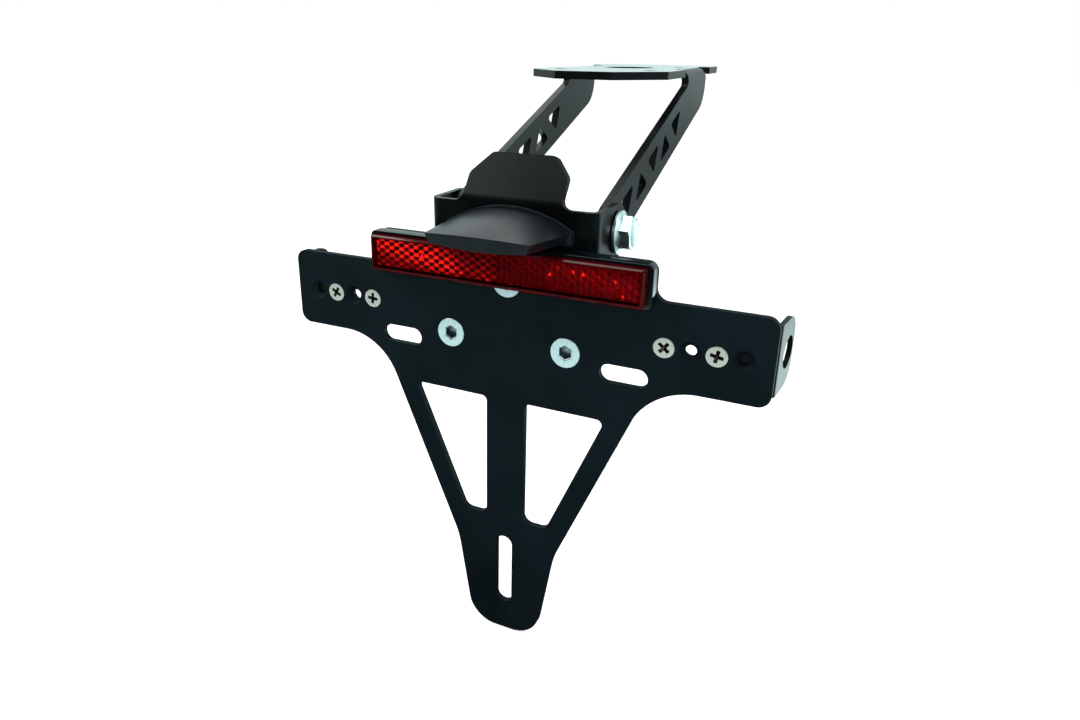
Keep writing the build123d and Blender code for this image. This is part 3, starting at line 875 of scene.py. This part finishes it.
@dataclass(frozen=True)
class SocketScrew:
    """Countersunk screw with a hexagon socket; mouth holds (share of the hole, depth) of its lead-in."""

    head: float = 13.2 * MM
    length: float = 16.0 * MM
    socket: float = 5.0 * MM
    socket_depth: float = 3.2 * MM
    drill_point: float = 0.5 * MM
    floor_share: float = 0.98
    floor_round: float = 0.1 * MM
    mouth: tuple[Pair, ...] = (
        (1.0, 0.25 * MM), (1.06, 0.12 * MM), (1.18, 0.02 * MM), (1.21, 0.0), (1.25, 0.0))
    flat_margin: float = 1.2 * MM
    rim: float = 0.35 * MM
    rim_drop: float = 0.02 * MM
    neck: float = 0.2 * MM
    neck_run: float = 0.3 * MM
    thread_start: float = 0.8 * MM
    thread: Thread = Thread(diameter=6.0 * MM, pitch=1.0 * MM)

    def shape(self, axis: Axis) -> Shape:
        """Rings from the socket's floor over the flat head and down the cone to the threaded end.

        Args:
            axis: the screw's axis, with its origin on the head's face.

        Returns:
            Points and faces.
        """
        hole = hexagon(self.socket)
        side = self.head / 2
        cone = side - self.thread.diameter / 2
        rings: Rings = [
            (0.0, self.socket_depth + self.drill_point),
            (hole * self.floor_share, self.socket_depth),
            (hole, self.socket_depth - self.floor_round),
        ]
        rings += [(hole * share, depth) for share, depth in self.mouth]
        rings += [
            (side - self.flat_margin, 0.0),
            (side - self.rim, self.rim_drop),
            (side, self.rim),
            (side - cone + self.neck, cone),
            (self.thread.diameter / 2, cone + self.neck_run),
        ]
        return turned(axis, rings + self.thread.rings(cone + self.thread_start, self.length))


@dataclass(frozen=True)
class CrossScrew:
    """Cross-recess screw with a countersunk or a rounded head; heights grow from the head's top.

    flat_rim and round_rim hold (distance in from the side, depth) of the edge of either head.
    """

    head: float
    head_height: float
    length: float
    thread: Thread
    recess: CrossRecess
    rounded: bool = False
    crown: float = 0.45
    disc_rings: int = 34
    disc_margin: float = 0.3 * MM
    flat_rim: tuple[Pair, ...] = ((0.05 * MM, 0.06 * MM), (0.0, 0.25 * MM))
    round_rim: tuple[Pair, ...] = ((0.08 * MM, 0.15 * MM), (0.0, 0.4 * MM))
    thread_start: float = 0.3 * MM

    def shape(self, axis: Axis) -> Shape:
        """Disc of rings sunk by the recess, then the head's side and the threaded shank.

        Args:
            axis: the screw's axis, with its origin at the head's top.

        Returns:
            Points and faces.
        """
        side = self.head / 2
        dome = self.crown * self.head_height if self.rounded else 0.0
        disc = np.linspace(0.0, side - self.disc_margin, self.disc_rings)
        rings: Rings = [
            (radius, dome * (radius / side) ** 2 + self.recess.sink(radius, angles())) for radius in disc
        ]
        rim = self.round_rim if self.rounded else self.flat_rim
        rings += [(side - inset, dome + drop) for inset, drop in rim]
        if self.rounded:
            rings.append((side, self.head_height))
        rings.append((self.thread.diameter / 2, self.head_height))
        return turned(axis, rings + self.thread.rings(self.head_height + self.thread_start, self.length))


@dataclass(frozen=True)
class FlangeBolt:
    """Hexagon bolt with a flange; heights grow outwards from the face under the flange.

    dish_rings holds (share of half the flats, share of the dish) of the sunk middle of the head.
    """

    flats: float = 13.0 * MM
    head_height: float = 7.0 * MM
    face_share: float = 0.955
    flange: float = 17.9 * MM
    flange_edge: float = 1.4 * MM
    flange_slope: float = 30.0
    flange_round: Pair = (0.25 * MM, 0.3 * MM)
    dish: float = 0.35 * MM
    dish_rings: tuple[Pair, ...] = ((0.0, 1.0), (0.62, 1.0), (0.72, 0.4), (0.8, 0.0))
    levels: int = 30
    neck: float = 0.5 * MM
    thread_start: float = 0.6 * MM
    thread: Thread = Thread(diameter=8.0 * MM, pitch=1.25 * MM)

    def shape(self, axis: Axis, shank: float) -> Shape:
        """Radius = max(min(hexagon, top cone), flange cone) by height, then the shank through the joint.

        Args:
            axis: the bolt's axis, with its origin at the face under the flange.
            shank: length below the flange.

        Returns:
            Points and faces.
        """
        flat, edge, core = self.flats / 2, self.flange / 2, self.thread.diameter / 2
        levels = np.linspace(self.head_height, self.flange_edge, self.levels)
        top = self.face_share * flat + (self.head_height - levels) * CHAMFER_RISE
        skirt = edge - (levels - self.flange_edge) / math.tan(math.radians(self.flange_slope))
        body = np.maximum(np.minimum(hexagon(self.flats)[None, :], top[:, None]), skirt[:, None])
        inset, rise = self.flange_round
        rings: Rings = [
            (share * flat, self.head_height - sunk * self.dish) for share, sunk in self.dish_rings
        ]
        rings += list(zip(body, levels))
        rings += [(edge, rise), (edge - inset, 0.0), (core, 0.0), (core, -self.neck)]
        return turned(axis, rings + self.thread.rings(-self.thread_start, -shank))


@dataclass
class Brackets:
    """Sheet-metal brackets: the tail mount, the pivot bracket and the number-plate carrier."""

    edge: float = 0.35 * MM
    carrier_edge: float = 0.4 * MM

    def build(self, shop: Workshop) -> None:
        """Dresses the three brackets with softened edges.

        Args:
            shop: the workshop that dresses them.
        """
        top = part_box("mounting_bracket")[1].z
        shop.dress("mounting_bracket", Slot.ANODISED, self.edge, ANODISED.glossy_top(top))
        shop.dress("pivot_bracket", Slot.ANODISED, self.edge, TEXTURED)
        shop.dress("plate_carrier", Slot.POWDER, self.carrier_edge)


@dataclass
class CarrierFixings:
    """Three countersunk screws that hold the carrier on the pivot bracket."""

    screw: SocketScrew = field(default_factory=SocketScrew)
    nut: HexNut = HexNut(flats=10.0 * MM, bore=6.0 * MM, height=6.0 * MM)
    washer_edge: float = 0.15 * MM

    def places(self) -> list[Vector]:
        """Middles of the three heads on the carrier's face, worked out from the node's box.

        Returns:
            Two lower places and one upper place.
        """
        low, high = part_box("carrier_screws")
        radius = self.screw.head / 2
        lower, upper = low.z + radius, high.z - radius
        spots = ((low.x + radius, lower), (high.x - radius, lower), (centre(low, high).x, upper))
        return [Vector((across, low.y, up)) for across, up in spots]

    def build(self, shop: Workshop) -> None:
        """Makes the screws and nuts and dresses the washers.

        Args:
            shop: the workshop that makes and dresses them.
        """
        spots = self.places()
        screws = join([self.screw.shape(Axis(spot, BACK, ACROSS)) for spot in spots])
        nuts = self.nut.behind(spots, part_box("carrier_nuts")[0].y)
        # painted shade in the hexagon sockets
        finish = ZINC.recessed(spots[0].y, self.screw.socket_depth)
        shop.add("carrier_screws_turned", *screws, Body.CARRIER, Slot.ZINC, ["carrier_screws"], finish)
        shop.add("carrier_nuts_turned", *nuts, Body.CARRIER, Slot.ZINC, ["carrier_nuts"])
        shop.dress("carrier_washers", Slot.ZINC, self.washer_edge)


@dataclass
class IndicatorMount:
    """Indicator bracket of one side with its two cross-recess screws and nuts."""

    side: Side
    turns: Pair
    screw: CrossScrew = CrossScrew(
        head=8.4 * MM, head_height=2.2 * MM, length=10.0 * MM,
        thread=Thread(diameter=4.0 * MM, pitch=0.7 * MM),
        recess=CrossRecess(reach=2.45 * MM, half_width=0.58 * MM, depth=2.6 * MM))
    nut: HexNut = HexNut(flats=7.0 * MM, bore=4.0 * MM, height=3.2 * MM)
    edge: float = 0.3 * MM

    def build(self, shop: Workshop) -> None:
        """Makes the screws and nuts and dresses the bracket.

        Args:
            shop: the workshop that makes and dresses them.
        """
        name = self.side.name.lower()
        low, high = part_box(f"indicator_screws_{name}")
        spots = end_spots(low, high, self.screw.head, low.y)
        recesses = [replace(self.screw.recess, turn=turn) for turn in self.turns]
        screws = join([replace(self.screw, recess=recess).shape(Axis(spot, BACK, ACROSS))
                       for spot, recess in zip(spots, recesses)])
        nuts = self.nut.behind(spots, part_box(f"indicator_nuts_{name}")[0].y)
        # painted shade in the cross recesses
        finish = STAINLESS.recessed(low.y, self.screw.recess.depth)
        shop.add(f"indicator_screws_{name}_turned", *screws, Body.CARRIER, Slot.STAINLESS,
                 [f"indicator_screws_{name}"], finish)
        shop.add(f"indicator_nuts_{name}_turned", *nuts, Body.CARRIER, Slot.STAINLESS,
                 [f"indicator_nuts_{name}"])
        # the darker copy of the anodised coat: painted shade on the brackets behind the carrier
        shop.dress(f"indicator_bracket_{name}", Slot.ANODISED, self.edge, SHADED_ANODISED)


@dataclass
class PivotJoint:
    """Bolt, washer and nut of one side of the tilting joint."""

    side: Side
    turn: float
    bolt: FlangeBolt = field(default_factory=FlangeBolt)
    nut: HexNut = HexNut(flats=13.0 * MM, bore=8.0 * MM, height=8.0 * MM)
    washer_edge: float = 0.15 * MM

    def build(self, shop: Workshop) -> None:
        """Makes the bolt and nut and dresses the washer.

        Args:
            shop: the workshop that makes and dresses them.
        """
        name = self.side.name.lower()
        low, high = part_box(f"pivot_bolt_{name}")
        nut_low, nut_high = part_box(f"pivot_nut_{name}")
        tip, nut_start = (high.x, nut_low.x) if self.side is Side.RIGHT else (low.x, nut_high.x)
        face = tip - self.side.value * self.bolt.head_height
        shank = (high.x - low.x) - self.bolt.head_height
        middle = centre(low, high)
        outwards = Vector((self.side.value, 0, 0))
        turn = math.radians(self.turn)
        across = Vector((0, math.cos(turn), math.sin(turn)))
        bolt = self.bolt.shape(Axis(Vector((face, middle.y, middle.z)), outwards, across), shank)
        nut = self.nut.shape(Axis(Vector((nut_start, middle.y, middle.z)), outwards, BACK))
        shop.add(f"pivot_bolt_{name}_turned", *bolt, Body.MOUNT, Slot.ZINC, [f"pivot_bolt_{name}"])
        shop.add(f"pivot_nut_{name}_turned", *nut, Body.MOUNT, Slot.ZINC, [f"pivot_nut_{name}"])
        shop.dress(f"pivot_washer_{name}", Slot.ZINC, self.washer_edge)


@dataclass
class Reflector:
    """Long red reflector: lens, back plate, tape, black frame and the field of corner prisms inside.

    The painted reflections of a side are given for the six half facets of its cells, from dark at 0 to
    bright at 1.
    """

    cell: float = 1.6 * MM
    wall: float = 1.6 * MM
    rim: float = 1.1 * MM
    face: float = 2.2 * MM
    clearance: float = 0.15 * MM
    lens_edge: float = 0.25 * MM
    tall: float = 1.15
    relief: float = 0.35
    most_columns: int = 60
    most_rows: int = 8
    # painted reflections of the prism facets: bright and dark values for each side, painted shade in bands
    # and near the seam, and painted glints
    left_painted_reflections: tuple[float, ...] = (0.08, 0.12, 0.08, 0.86, 1.0, 0.92)
    right_painted_reflections: tuple[float, ...] = (0.58, 0.30, 0.36, 0.14, 0.24, 0.48)
    tone_noise: float = 0.1
    wave: Pair = (80 * MM, 16 * MM)
    wave_start: float = 0.44
    wave_share: float = 0.34
    seam: float = 24 * MM
    seam_shade: float = 0.7
    flashes: float = 0.045
    flash_focus: int = 4
    seed: int = 7
    frame_margin: Pair = (2.2 * MM, 1.1 * MM)
    frame_corner: float = 2.4 * MM
    frame_depth: float = 5.1 * MM
    frame_round: float = 0.35 * MM
    frame_steps: int = 5
    frame_gap: float = 0.05 * MM

    def half(self) -> np.ndarray:
        """Half the lens's width and height."""
        low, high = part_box("reflector_lens")
        return np.array([high.x - low.x, high.z - low.z]) / 2

    def cells(self) -> np.ndarray:
        """Middles of the honeycomb's cells inside the lens's walls: columns 1.5 cells apart, every other
        one half a row up, rows a tall hexagon's flats apart.

        Returns:
            Points by 2, from the lens's middle.
        """
        columns, rows = np.meshgrid(np.arange(-self.most_columns, self.most_columns + 1),
                                    np.arange(-self.most_rows, self.most_rows + 1), indexing="ij")
        across = columns * 1.5 * self.cell
        up = (rows + 0.5 * (columns % 2)) * math.sqrt(3) * self.cell * self.tall
        middles = np.stack([across, up], -1)
        return middles[(np.abs(middles) <= self.half() - self.wall + self.cell / 2).all(-1)]

    def prisms(self) -> tuple[np.ndarray, np.ndarray, np.ndarray]:
        """Cells of a honeycomb, each a cube's corner seen along its diagonal, held inside the lens's walls.

        A cell has its deepest point in the middle, three rim points one step up and three two steps up,
        so that its three facets are alike and neighbouring cells meet. Its depth is a cube corner's times
        the relief that shows through the thick lens. Each facet is cut along its diagonal, because its two
        halves send light back in different ways. The cells of the right half are turned half round against
        those of the left half.

        Returns:
            Points, faces and the painted reflection of each face.
        """
        low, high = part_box("reflector_lens")
        middle = centre(low, high)
        middles = self.cells()
        facing = np.where(middles[:, 0] < 0.0, -1.0, 1.0)
        turn = np.arange(6) * math.pi / 3
        rim = self.cell * np.stack([np.cos(turn), self.tall * np.sin(turn)], -1)
        flat = np.concatenate([np.zeros((1, 2)), rim])
        room = self.half() - self.wall - self.clearance
        spots = np.clip(middles[:, None, :] + facing[:, None, None] * flat[None], -room, room)
        steps_down = np.array([2.0, 1.0, 0.0, 1.0, 0.0, 1.0, 0.0])
        points = np.empty((len(middles), len(flat), 3))
        points[..., 0] = middle.x + spots[..., 0]
        points[..., 1] = (low.y + self.face + self.clearance
                          + self.relief * self.cell / math.sqrt(2) * steps_down)
        points[..., 2] = middle.z + spots[..., 1]
        corner = np.arange(6)
        halves = np.stack([np.zeros(6, int), corner + 1, (corner + 1) % 6 + 1], -1)
        faces = (np.arange(len(middles))[:, None, None] * len(flat) + halves[None]).reshape(-1, 3)
        return points.reshape(-1, 3), faces, self.painted_reflections(middles, facing)

    def painted_reflections(self, middles: np.ndarray, facing: np.ndarray) -> np.ndarray:
        """Painted reflections of the half facets: their side's values, with painted shade in bands of a
        slanting wave and towards the seam of the two sides; in the wave's bright bands some facets get a
        painted glint.

        Args:
            middles: middles of the cells, by 2.
            facing: -1 for a cell of the left side, 1 for one of the right.

        Returns:
            A number from 0 to 1 for each half facet.
        """
        chance = np.random.default_rng(self.seed)
        # painted reflections: fixed bright and dark values for each side's facets
        painted_reflections = np.where(facing[:, None] < 0, np.array(self.left_painted_reflections), np.array(self.right_painted_reflections))
        # painted shade in slanting bands
        phase = (middles / np.array(self.wave)).sum(-1) + self.wave_start
        dim = 0.5 - 0.5 * np.cos(2 * math.pi * phase[:, None])
        noise = chance.uniform(-self.tone_noise, self.tone_noise, painted_reflections.shape)
        painted_reflections = painted_reflections * (1.0 - self.wave_share * dim) + noise
        # painted shade towards the seam of the two sides
        painted_reflections *= np.clip(np.abs(middles[:, :1]) / self.seam, self.seam_shade, 1.0)
        # painted glints: in the bright bands, random facets turn fully bright
        likely = self.flashes * (1.0 - dim) ** self.flash_focus
        painted_reflections = np.where(chance.random(painted_reflections.shape) < likely, 1.0, painted_reflections)
        return np.clip(painted_reflections, 0, 1).ravel()

    def frame(self) -> Shape:
        """Black frame round the back of the lens: rounded outlines carried along a profile that runs from
        the carrier up the outside, over a rounded edge and back down along the lens.

        Returns:
            Points and faces.
        """
        middle = centre(*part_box("reflector_lens"))
        inner = self.half() + self.frame_gap
        outer = inner + np.array(self.frame_margin)
        turn = np.linspace(0.0, math.pi / 2, self.frame_steps)
        inset = np.concatenate([[0.0], self.frame_round * (1.0 - np.cos(turn))])
        rise = self.frame_depth - self.frame_round * (1.0 - np.sin(turn))
        height = np.concatenate([[0.0], rise, [self.frame_depth, 0.0]])
        rings = [rounded_ring(*(outer - drawn_in), self.frame_corner - drawn_in) for drawn_in in inset]
        rings += [rounded_ring(*inner, self.frame_gap + self.rim)] * 2
        flat = np.stack(rings)
        points = np.empty((*flat.shape[:2], 3))
        points[..., 0] = middle.x + flat[..., 0]
        points[..., 1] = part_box("plate_carrier")[0].y - height[:, None]
        points[..., 2] = middle.z + flat[..., 1]
        return points.reshape(-1, 3), ring_faces(len(flat), flat.shape[1], closed=True)

    def build(self, shop: Workshop) -> None:
        """Makes the prisms and the frame and dresses the lens, the back plate and the tape.

        Args:
            shop: the workshop that makes and dresses them.
        """
        # prisms coloured by painted reflections, with a painted glow where brightest
        points, faces, painted_reflections = self.prisms()
        shop.add("reflector_prisms", points, faces, Body.CARRIER, Slot.RED, finish=PRISMS, painted_reflections=painted_reflections)
        shop.add("reflector_frame", *self.frame(), Body.CARRIER, Slot.HOOD, finish=GLOSS_BLACK)
        glass = RED_GLASS.over(centre(*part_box("reflector_lens")).z, *(self.half() - self.rim))
        shop.dress("reflector_lens", Slot.RED, self.lens_edge, glass)
        shop.dress("reflector_back", Slot.BACKING)
        shop.dress("reflector_tape", Slot.FOAM)


@dataclass
class PlateLight:
    """Number-plate light: hood, gasket, lens, board and the screws behind the wall."""

    head: float = 7.6 * MM
    head_height: float = 2.6 * MM
    thread: Thread = Thread(diameter=4.0 * MM, pitch=1.4 * MM)
    recess: CrossRecess = CrossRecess(reach=2.3 * MM, half_width=0.6 * MM, depth=1.6 * MM, turn=25.0)
    hood_edge: float = 0.3 * MM

    def build(self, shop: Workshop) -> None:
        """Makes the screws and dresses the other pieces.

        Args:
            shop: the workshop that makes and dresses them.
        """
        low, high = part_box("light_screws")
        length = high.y - low.y
        screw = CrossScrew(self.head, self.head_height, length, self.thread, self.recess, rounded=True)
        spots = end_spots(low, high, self.head, high.y)
        screws = join([screw.shape(Axis(spot, AHEAD, ACROSS)) for spot in spots])
        shop.add("light_screws_turned", *screws, Body.CARRIER, Slot.STAINLESS, ["light_screws"])
        shop.dress("light_hood", Slot.HOOD, self.hood_edge)
        shop.dress("light_gasket", Slot.RUBBER)
        shop.dress("light_grommet", Slot.RUBBER)
        shop.dress("light_board", Slot.BOARD)
        shop.dress("light_leds", Slot.LED)
        shop.dress("light_lens", Slot.CLEAR)


@dataclass(frozen=True)
class Viewpoint:
    """The photograph's camera, with the shift of its cropped frame."""

    image: tuple[int, int] = (1080, 720)
    focal_pixels: float = 776.47
    middle_pixels: Pair = (507.40, 328.97)
    position: Triple = (130.9 * MM, -410.8 * MM, 12.5 * MM)
    rightwards: Triple = (0.9012, 0.4332, 0.0092)
    upwards: Triple = (-0.1583, 0.3092, 0.9377)
    sensor: float = 36.0
    nearest: float = 10 * MM

    def build(self) -> None:
        """Adds the camera and makes it the scene's own."""
        width, height = self.image
        data = bpy.data.cameras.new("camera")
        data.sensor_width = self.sensor
        data.lens = self.focal_pixels * self.sensor / width
        data.shift_x = (width / 2 - self.middle_pixels[0]) / width
        data.shift_y = (self.middle_pixels[1] - height / 2) / width
        data.clip_start = self.nearest
        right, up = Vector(self.rightwards).normalized(), Vector(self.upwards).normalized()
        back = right.cross(up).normalized()
        turn = Matrix((right, back.cross(right), back)).transposed().to_4x4()
        thing = bpy.data.objects.new("camera", data)
        thing.matrix_world = Matrix.Translation(self.position) @ turn
        bpy.context.scene.collection.objects.link(thing)
        bpy.context.scene.camera = thing


@dataclass(frozen=True)
class Lamp:
    """One soft square lamp: its name, place, aim, side and power in watts."""

    name: str
    place: Triple
    aim: Triple
    size: float
    power: float

    def build(self) -> None:
        """Hangs the lamp and turns it to its aim."""
        data = bpy.data.lights.new(self.name, "AREA")
        data.size = self.size
        data.energy = self.power
        thing = bpy.data.objects.new(self.name, data)
        thing.location = self.place
        thing.rotation_mode = "QUATERNION"
        thing.rotation_quaternion = (Vector(self.aim) - Vector(self.place)).to_track_quat("-Z", "Y")
        bpy.context.scene.collection.objects.link(thing)


LAMPS = (
    Lamp("key", (-0.78, -0.48, 0.65), (0.0, -0.12, -0.08), size=0.5, power=6.0),
    Lamp("fill", (0.45, -0.95, 0.30), (0.0, -0.12, -0.10), size=0.5, power=3.0),
    Lamp("top", (-0.43, 0.36, 0.62), (0.0, -0.12, -0.06), size=0.6, power=1.5),
    Lamp("overhead", (-0.21, -0.23, 0.80), (0.02, -0.12, -0.06), size=0.4, power=2.2),
    Lamp("right", (0.95, 0.10, 0.20), (0.0, -0.08, -0.08), size=0.7, power=1.6),
)


@dataclass(frozen=True)
class Floor:
    """Wide pale floor. In reflections it is lit in zones, whose edges are pairs of places along Y."""

    cool: Colour
    size: float = 12.0
    drop: float = 0.3 * MM
    paper: Layer = Layer(40 * MM, detail=3.0)
    paper_tones: tuple[Colour, Colour] = ((0.84, 0.85, 0.85), (0.88, 0.88, 0.88))
    roughness: float = 0.9
    glow: float = 0.42
    under: float = 0.03
    ahead: float = 1.60
    ahead_far: Pair = (-0.72, -0.52)
    ahead_near: Pair = (-0.36, -0.26)
    behind: float = 0.15
    behind_edge: Pair = (0.05, 0.20)
    close_by: float = 2.00
    close_by_edge: Pair = (0.3, 0.5)
    distant: float = 0.65
    distant_edge: Pair = (1.6, 4.0)
    beside: float = 1.85
    beside_slope: float = 0.52
    beside_edge: Pair = (-0.04, 0.04)

    def mirrored(self, recipe: Recipe) -> Value:
        """Strength in reflections: dim under the object, a lit band ahead and, behind, lit close by, far
        off and on the right of a slanting line.

        Args:
            recipe: the floor's node tree.

        Returns:
            The strength by place.
        """
        depth = recipe.part(recipe.place(), "Y")
        across = recipe.part(recipe.place(), "X")
        ahead = (1.0 - depth.step(*self.ahead_near)) * depth.step(*self.ahead_far)
        beside = (across - depth * self.beside_slope).step(*self.beside_edge)
        lit = self.behind + self.distant * depth.step(*self.distant_edge) + self.beside * beside
        close_by = self.close_by * (1.0 - depth.step(*self.close_by_edge))
        return self.under + ahead * self.ahead + depth.step(*self.behind_edge) * (lit + close_by)

    def build(self) -> None:
        """Adds the floor just under the object, white to the camera where no shadow falls."""
        half = self.size / 2
        level = CAD_BOX[0].z - self.drop
        corners = [(-half, -half, level), (half, -half, level), (half, half, level), (-half, half, level)]
        mesh = bpy.data.meshes.new("floor")
        mesh.from_pydata(corners, [], [[0, 1, 2, 3]])
        thing = bpy.data.objects.new("floor", mesh)
        bpy.context.scene.collection.objects.link(thing)
        recipe = Recipe(bpy.data.materials.new("floor"))
        tone = recipe.ramp(self.paper.noise(recipe), *enumerate(self.paper_tones))
        seen = recipe.node("ShaderNodeLightPath", output="Is Camera Ray")
        bounced = recipe.node("ShaderNodeLightPath", output="Is Glossy Ray")
        paper = {"Base Color": tone, "Roughness": self.roughness}
        sheen = recipe.node("ShaderNodeBsdfPrincipled", inputs=paper)
        glow = recipe.node("ShaderNodeEmission", inputs={"Strength": seen * self.glow})
        pale = recipe.node("ShaderNodeAddShader", inputs={0: sheen, 1: glow})
        mirrored = {"Color": (*self.cool, 1.0), "Strength": self.mirrored(recipe)}
        dusk = recipe.node("ShaderNodeEmission", inputs=mirrored)
        shader = recipe.node("ShaderNodeMixShader", inputs={0: bounced, 1: pale, 2: dusk})
        recipe.close("ShaderNodeOutputMaterial", shader)
        mesh.materials.append(recipe.owner)


@dataclass(frozen=True)
class Surroundings:
    """White surroundings. The edges of their zones are pairs of a direction's coordinate."""

    cool: Colour
    ambient: float = 0.75
    front_gloom: float = 0.04
    front_tilt: float = 0.5
    front_edge: Pair = (-0.3, 0.4)
    right_gloom: float = 0.6
    right_edge: Pair = (-0.3, 0.1)
    right_height: Pair = (0.35, 0.6)
    high_gloom: float = 0.5
    high_edge: Pair = (0.55, 0.8)

    def build(self) -> None:
        """White for the camera and even for ambient light; in reflections dim in front and high up."""
        world = bpy.data.worlds.new("surroundings")
        bpy.context.scene.world = world
        recipe = Recipe(world)
        direct, glossy, passed = (recipe.node("ShaderNodeLightPath", output=f"Is {name} Ray")
                                  for name in ("Camera", "Glossy", "Transmission"))
        direction = recipe.node("ShaderNodeTexCoord", output="Generated")
        height = recipe.part(direction, "Z")
        behind = (recipe.part(direction, "Y") + height * self.front_tilt).step(*self.front_edge)
        right = recipe.part(direction, "X").step(*self.right_edge) * height.step(*self.right_height)
        shade = (1.0 - self.right_gloom * right) * (1.0 - self.high_gloom * height.step(*self.high_edge))
        mirrored = self.front_gloom + (1.0 - self.front_gloom) * behind * shade
        bounced = glossy.larger(passed)
        strength = direct + bounced * mirrored + (1.0 - direct - bounced) * self.ambient
        colour = recipe.ramp(bounced, (0.0, WHITE), (1.0, self.cool))
        shader = recipe.node("ShaderNodeBackground", inputs={"Color": colour, "Strength": strength})
        recipe.close("ShaderNodeOutputWorld", shader)


@dataclass
class Studio:
    """Camera, lamps, pale floor and white surroundings."""

    cool: Colour = (0.80, 1.0, 0.98)

    def build(self) -> None:
        """Sets the view transform and adds camera, floor, surroundings and lamps."""
        bpy.context.scene.view_settings.view_transform = "Standard"
        for part in (Viewpoint(), Floor(self.cool), Surroundings(self.cool), *LAMPS):
            part.build()
        LOG.info("studio ready")


def main() -> None:
    """Builds every sub-assembly, then the studio."""
    logging.basicConfig(level=logging.INFO, format="%(message)s")
    shop = Workshop()
    Brackets().build(shop)
    CarrierFixings().build(shop)
    IndicatorMount(Side.RIGHT, turns=(40.0, 12.0)).build(shop)
    IndicatorMount(Side.LEFT, turns=(30.0, 5.0)).build(shop)
    PivotJoint(Side.RIGHT, turn=12.0).build(shop)
    PivotJoint(Side.LEFT, turn=25.0).build(shop)
    Reflector().build(shop)
    PlateLight().build(shop)
    Studio().build()


if __name__ == "__main__":
    main()
